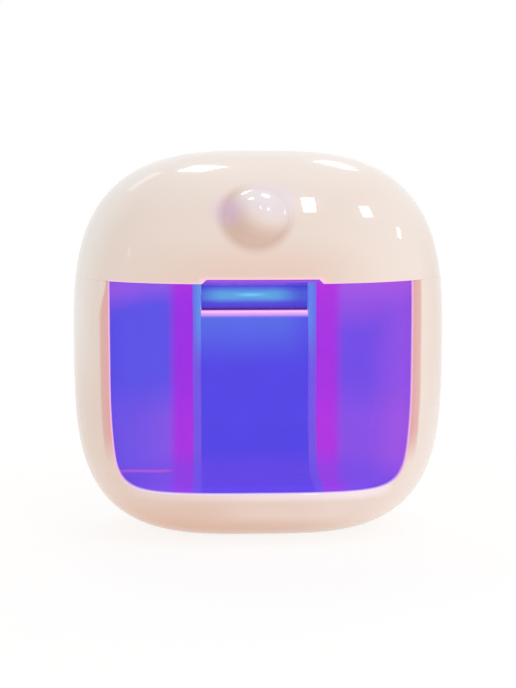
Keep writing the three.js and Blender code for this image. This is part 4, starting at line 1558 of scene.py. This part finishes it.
@dataclass
class HoodShell:
    """The upper shell with its finger notch, button hole and charging slot."""

    form: Form
    mouth: Mouth
    button: ButtonFrame
    finishes: Finishes
    bottom: float = 69.12
    sides: int = 240
    notch_half: float = 14.95
    notch_slant: float = 1.1
    notch_top: float = 70.2
    hole: float = 8.0
    slot_half: float = 4.8
    slot_low: float = 76.2
    slot_high: float = 80.0

    def shell(self) -> Piece:
        """Builds the plain hood with a rounded rim, before anything is cut."""
        turns = circle(self.sides)
        crown = self.form.centre_z + self.form.half_height
        rings = [self.form.ring(crown, turns, 0)]
        rings += [self.form.ring(z, turns) for z in reversed(
            self.form.heights(self.bottom + 0.8, crown, 60)[:-1])]
        rings += [self.form.ring(self.bottom + rise, turns)
                  for rise in (0.5, 0.3, 0.15, ROUND_OUT)]
        rings += rim(self.form, self.bottom, 1, turns)
        inner = self.form.inset(WALL)
        peak = inner.centre_z + inner.half_height
        rings += [inner.ring(z, turns)
                  for z in inner.heights(self.bottom + ROUND_IN, peak, 36)[1:-1]]
        rings.append(inner.ring(peak, turns, 0))
        return wrapped("hood_shell_skin", rings)

    def notch(self) -> Piece:
        """Builds what the finger notch takes out of the lower front edge."""
        low, high = self.notch_half, self.notch_half - self.notch_slant
        base = self.bottom - 1.0
        run = self.notch_slant * (self.bottom - base) / (self.notch_top - self.bottom)
        flat = rounded_outline(np.array([(high, self.notch_top), (-high, self.notch_top),
                                         (-low - run, base), (low + run, base)]), 0.25)
        return raised("notch_cut", flat, 1, (-BEYOND, -17.0))

    def slot(self) -> Piece:
        """Builds what the charging slot takes out of the back."""
        radius = (self.slot_high - self.slot_low) / 2
        turns = np.linspace(-QUARTER, QUARTER, 13)
        x = self.slot_half - radius + radius * np.cos(turns)
        rise, middle = radius * np.sin(turns), self.slot_low + radius
        flat = np.stack((np.concatenate((x, -x)),
                         np.concatenate((middle + rise, middle - rise))), axis=1)
        return raised("slot_cut", flat, 1, (24.0, BEYOND))

    def build(self) -> Piece:
        """Builds, dresses and hangs the hood shell."""
        piece = self.shell()
        ends = self.button.to_hood(np.array(((0, 0, -4.0), (0, 0, 6.0))))
        carve(piece, joined([self.notch(), self.slot(),
                             rod("button_hole", self.hole, ends[0], ends[1], 128)]))
        smoothed(piece, SMOOTH)
        follow_forms(piece, (self.form, self.form.inset(WALL)))
        half = self.mouth.width / 2

        def glow(points: Points) -> Points:
            """Returns how strongly painted lamp light shows along the lower front edge."""
            away = np.abs(points[:, 0])
            edge = np.where(away < self.notch_half, self.notch_top, self.bottom)
            height = ramp_down(points[:, 2] - edge, 0.1, 0.45)
            front = ramp_down(points[:, 1], -14, -8)
            return 0.35 * height * front * ramp_down(away, half - 0.6, half + 0.2)

        spread(piece, "lamp_glow", glow)
        spread(piece, "lip_upright", lambda points: np.ones(len(points)))
        settle(piece, Body.HOOD, "shell", self.finishes.shell, "hood_shell")
        return piece


@dataclass
class HingeTongue:
    """The hood's tongue at the back, which ends in the hinge barrel."""

    form: Form
    finishes: Finishes
    half: float = 15.26
    wall: float = 2.6
    bottom: float = 69.13
    root: float = 71.0
    root_inset: float = 0.9
    gap: float = 0.35
    spine_y: float = 32.3
    rounding: float = 0.2
    rows: int = 14
    barrel_rows: int = 44
    round_rows: int = 5

    def section(self, x: float, shrink: float) -> Points:
        """Traces the tongue's section at one place across.

        Args:
            x: The place across.
            shrink: How far the section is drawn in.

        Returns:
            Points in space, in order round the section.
        """
        inner = self.form.inset(self.wall)
        back = lambda form, z: -form.front(np.full_like(z, x), z)
        rise = np.linspace(self.bottom, HINGE_Z + 0.4, self.rows)
        skin = np.stack((back(self.form, rise), rise), axis=1)
        inside = back(inner, np.array([HINGE_Z + BARREL]))[0]
        meet = math.acos(min(max((inside - self.gap - HINGE_Y) / BARREL, -1), 1))
        turns = np.linspace(0, meet - 2 * math.pi, self.barrel_rows)
        round_part = np.stack((HINGE_Y + BARREL * np.cos(turns),
                               HINGE_Z + BARREL * np.sin(turns)), axis=1)
        limit = back(self.form, round_part[:, 1])
        round_part[:, 0] = np.minimum(round_part[:, 0], limit - 0.01)
        climb = np.linspace(HINGE_Z + BARREL + self.gap, self.root, self.rows)
        web = np.stack((back(inner, climb), climb), axis=1)
        top = np.array([(back(self.form.inset(self.root_inset), np.array([z]))[0], z)
                        for z in (self.root, self.bottom)])
        flat = np.concatenate((skin, round_part, web, top))
        low_part = flat[:, 1] < HINGE_Z + BARREL
        away = np.where(low_part[:, None], flat - (HINGE_Y, HINGE_Z),
                        (flat - (self.spine_y, 0)) * (1, 0))
        length = np.maximum(np.linalg.norm(away, axis=1, keepdims=True), 1e-6)
        return np.insert(flat - away / length * shrink, 0, x, axis=1)

    def build(self) -> Piece:
        """Builds, dresses and hangs the tongue and its barrel."""
        ends = []
        for turn in np.linspace(0, QUARTER, self.round_rows):
            ends.append((self.half - self.rounding * (1 - math.cos(turn)),
                         self.rounding * (1 - math.sin(turn))))
        reach = self.half - self.rounding
        rings = [self.section(-x, shrink) for x, shrink in ends]
        rings += [self.section(x, 0) for x in np.linspace(-reach, reach, 25)[1:-1]]
        rings += [self.section(x, shrink) for x, shrink in reversed(ends)]
        piece = lofted("hood_tongue", rings)
        smoothed(piece, 40)
        # Marks the side facing the chamber, which gets painted lamp light.
        spread(piece, "lamp_glow", lambda points: ramp_down(
            points[:, 1] - np.where(points[:, 2] > HINGE_Z + 2, 0.9, 0.0), 30.6, 31.2))
        settle(piece, Body.HOOD, "shell", self.finishes.barrel)
        return piece


@dataclass
class PowerButton:
    """The push button, a soft dome that rises out of the hood's slope."""

    button: ButtonFrame
    finishes: Finishes
    radius: float = 7.99
    rise: float = 3.0
    wall: float = 1.6
    flange: float = 1.2
    flange_depth: float = 4.2
    flange_wall: float = 0.8
    edge: float = 0.02
    swell: tuple[float, float] = (2.35, 1.95)
    stem_radius: float = 1.5
    stem_end: float = -6.3
    dome_rows: int = 26
    sides: int = 128

    def profile(self) -> list[tuple[float, float]]:
        """Returns the lathe profile from the dome's middle to the bore's middle."""
        edge, flat = self.edge, self.radius - self.edge
        inner, outer = self.swell
        profile = [(flat * share, self.rise * (1 - share ** inner) ** outer)
                   for share in np.linspace(0, 1, self.dome_rows)]
        profile += [(flat + edge * math.sin(turn), edge * (math.cos(turn) - 1))
                    for turn in np.linspace(0, QUARTER, 4)[1:]]
        low, flange = -self.flange_depth - self.flange_wall, self.radius + self.flange
        bore = self.radius - self.wall
        return profile + [(self.radius, -self.flange_depth), (flange, -self.flange_depth),
                          (flange, low), (bore, low), (bore, -self.wall),
                          (self.stem_radius, -self.wall), (self.stem_radius, self.stem_end),
                          (0, self.stem_end)]

    def build(self) -> Piece:
        """Builds, dresses and hangs the button."""
        turns = circle(self.sides)
        rings = [np.stack((radius * np.cos(turns), radius * np.sin(turns),
                           np.full_like(turns, z)), axis=1) for radius, z in self.profile()]
        piece = wrapped("button_cap", rings)
        points = places(piece)
        top = points[:, 2] > -0.2
        points[top, 2] -= self.button.fall(points[top, 0], points[top, 1])
        set_places(piece, self.button.to_hood(points))
        tidy_mesh(piece)
        smoothed(piece, 40)
        settle(piece, Body.BUTTON, "shell", self.finishes.shell, "power_button")
        return piece


# Kept CAD nodes


@dataclass
class Interior:
    """The CAD nodes that stay as they are and get their finishes."""

    finishes: Finishes

    def build(self) -> None:
        """Dresses every node that no piece replaces."""
        slots = {row["node"]: row["material_slot"] for row in frame["record"]["subparts"]}
        kept = {"shell": self.finishes.shell, "liner": self.finishes.chamber,
                "window": self.finishes.pane, **self.finishes.plain}
        # The hood's gasket gets the glowing finish of painted lamp light.
        lit = {"hood_gasket": kept["gasket"]}
        for name, node in frame["nodes"].items():
            node.data.materials.clear()
            node.data.materials.append(lit.get(name, kept[slots[name]]))
            if not node.hide_render:
                LOG.info("%s keeps its solid, dressed as %s", name, slots[name])


# Studio


@dataclass(frozen=True)
class Softbox:
    """One soft lamp, placed by the direction in which it stands."""

    name: str
    direction: Triple
    distance: float
    width: float
    height: float
    watts: float
    roll: float = 0.0
    mirrored: bool = True
    colour: Triple = (1.0, 1.0, 1.0)

    def build(self, target: Points) -> None:
        """Adds the lamp, turned towards a target in metres."""
        clear_selection()
        away = np.array(self.direction) / np.linalg.norm(self.direction)
        place = target + away * self.distance
        bpy.ops.object.light_add(type="AREA", location=place)
        lamp = bpy.context.object
        lamp.name = self.name
        lamp.data.shape = "RECTANGLE"
        lamp.data.size, lamp.data.size_y = self.width, self.height
        lamp.data.energy = self.watts
        lamp.data.color = self.colour
        facing = Vector(away).to_track_quat("Z", "Y")
        spin = Quaternion((0, 0, 1), math.radians(self.roll))
        lamp.rotation_euler = (facing @ spin).to_euler()
        lamp.visible_camera = False
        lamp.visible_glossy = self.mirrored


def any_ray(tree: bpy.types.NodeTree, *kinds: str) -> Socket:
    """Returns a share that is 1 for light path rays of the kinds, such as Is Camera Ray."""
    path = tree.nodes.new("ShaderNodeLightPath")
    share = path.outputs[kinds[0]]
    for kind in kinds[1:]:
        share = of_two(tree, "MAXIMUM", share, path.outputs[kind])
    return share


def of_two(tree: bpy.types.NodeTree, operation: str, first: Socket, second: Socket) -> Socket:
    """Works out one value from two, by an operation such as MAXIMUM."""
    node = tree.nodes.new("ShaderNodeMath")
    node.operation = operation
    tree.links.new(first, node.inputs[0])
    tree.links.new(second, node.inputs[1])
    return node.outputs[0]


def mixed(tree: bpy.types.NodeTree, share: Socket, first: Socket, second: Socket) -> Socket:
    """Returns a mix of two shaders."""
    node = tree.nodes.new("ShaderNodeMixShader")
    for socket, source in zip(node.inputs, (share, first, second)):
        tree.links.new(source, socket)
    return node.outputs[0]


def preset(node: bpy.types.Node, **values: object) -> bpy.types.Node:
    """Sets a node's sockets, named with underscores for spaces, and returns the node."""
    for name, value in values.items():
        node.inputs[name.replace("_", " ")].default_value = value
    return node


@dataclass
class Studio:
    """The camera, the lamps, the world and the pale floor."""

    target: Triple = (0.0, 0.0, 0.05013)
    distance: float = 0.39
    elevation: float = 7.5
    azimuth: float = -2.2
    lens: float = 76.08
    world_colour: tuple = (1.0, 0.985, 0.97, 1)
    floor_colour: tuple = (0.86, 0.84, 0.82, 1)
    floor_light: tuple = (1.0, 0.9, 0.82, 1)
    fade: tuple[float, float] = (0.05, 0.16)
    fade_start: float = 0.8
    world_strength: float = 0.62
    floor_glow: float = 0.28
    lamps: tuple[Softbox, ...] = (
        Softbox("overhead", (0.1, 0.1, 1.0), 0.9, 0.7, 0.5, 0.6, mirrored=False),
        Softbox("front", (-0.1, -1.0, 0.12), 0.9, 0.8, 0.6, 1.7, mirrored=False),
        Softbox("right", (1.0, -0.5, 0.3), 0.9, 0.5, 0.6, 0.5, mirrored=False,
                colour=(1.0, 0.97, 0.94)),
        Softbox("crown_left", (-0.13, 0.382, 0.915), 0.6, 0.09, 0.1, 0.28, 24.0),
        Softbox("crown_right", (0.258, 0.589, 0.766), 0.6, 0.11, 0.08, 0.22, -14.0),
        Softbox("shoulder", (-0.46, 0.464, 0.757), 0.6, 0.18, 0.08, 0.035, -30.0),
        Softbox("pane_front", (0.179, -0.415, 0.892), 0.5, 0.034, 0.112, 0.14, -16.0),
        Softbox("pane_right", (0.582, -0.294, 0.758), 0.5, 0.06, 0.075, 0.12, -24.0),
        Softbox("pane_side", (0.873, -0.111, 0.475), 0.5, 0.03, 0.055, 0.035, -34.0),
        Softbox("pane_left", (-0.836, -0.393, 0.384), 0.5, 0.022, 0.045, 0.005, 18.0),
    )

    def camera(self) -> None:
        """Adds the camera at the photographed angle."""
        rise, turn = math.radians(self.elevation), math.radians(self.azimuth)
        level = math.cos(rise)
        back = np.array((math.sin(turn) * level, -math.cos(turn) * level, math.sin(rise)))
        bpy.ops.object.camera_add(location=np.array(self.target) + back * self.distance)
        camera = bpy.context.object
        camera.rotation_euler = Vector(back).to_track_quat("Z", "Y").to_euler()
        camera.data.lens = self.lens
        camera.data.clip_start = 0.01
        bpy.context.scene.camera = camera

    def world(self) -> None:
        """Sets an even pale world, which camera, glossy and transmission rays see as white."""
        world = bpy.data.worlds.new("studio")
        bpy.context.scene.world = world
        world.use_nodes = True
        tree = world.node_tree
        light = preset(tree.nodes["Background"], Color=self.world_colour,
                       Strength=self.world_strength)
        white = preset(tree.nodes.new("ShaderNodeBackground"), Color=(1, 1, 1, 1), Strength=1.0)
        seen = any_ray(tree, "Is Camera Ray", "Is Glossy Ray", "Is Transmission Ray")
        tree.links.new(mixed(tree, seen, light.outputs[0], white.outputs[0]),
                       tree.nodes["World Output"].inputs["Surface"])

    def floor(self) -> None:
        """Adds the pale floor, which keeps the object's shadow and fades to white around it."""
        clear_selection()
        bpy.ops.mesh.primitive_plane_add(size=6)
        floor = bpy.context.object
        floor.name = "studio_floor"
        material = bpy.data.materials.new("floor_pale")
        material.use_nodes = True
        tree = material.node_tree
        shader = preset(tree.nodes["Principled BSDF"], Base_Color=self.floor_colour,
                        Emission_Color=self.floor_light, Emission_Strength=self.floor_glow,
                        Roughness=0.9, Specular_IOR_Level=0.0)
        white = preset(tree.nodes.new("ShaderNodeEmission"), Strength=1.0)
        place = tree.nodes.new("ShaderNodeTexCoord")
        length = tree.nodes.new("ShaderNodeVectorMath")
        length.operation = "LENGTH"
        tree.links.new(place.outputs["Object"], length.inputs[0])
        near, beyond = self.fade
        far = preset(tree.nodes.new("ShaderNodeMapRange"), From_Min=near, From_Max=beyond,
                     To_Min=self.fade_start)
        far.interpolation_type = "SMOOTHSTEP"
        tree.links.new(length.outputs["Value"], far.inputs["Value"])
        share = of_two(tree, "MULTIPLY", any_ray(tree, "Is Camera Ray", "Is Glossy Ray"),
                       far.outputs["Result"])
        tree.links.new(mixed(tree, share, shader.outputs[0], white.outputs[0]),
                       tree.nodes["Material Output"].inputs["Surface"])
        floor.data.materials.append(material)

    def build(self) -> None:
        """Sets up the whole studio."""
        bpy.context.scene.view_settings.view_transform = "Standard"
        self.camera()
        self.world()
        self.floor()
        for lamp in self.lamps:
            lamp.build(np.array(self.target))
        LOG.info("studio has %d lamps", len(self.lamps))


def main() -> None:
    """Builds the object and the studio."""
    form, mouth, finishes = Form(), Mouth(), Finishes()
    slope = ButtonFrame(form)
    Studio().build()
    BodyShell(form, mouth, finishes).build()
    ChamberLiner(form, mouth, finishes).build()
    FrontWindow(form, mouth, finishes).build()
    HoodShell(form, mouth, slope, finishes).build()
    HingeTongue(form, finishes).build()
    PowerButton(slope, finishes).build()
    Interior(finishes).build()
    clear_selection()


if __name__ == "__main__":
    main()
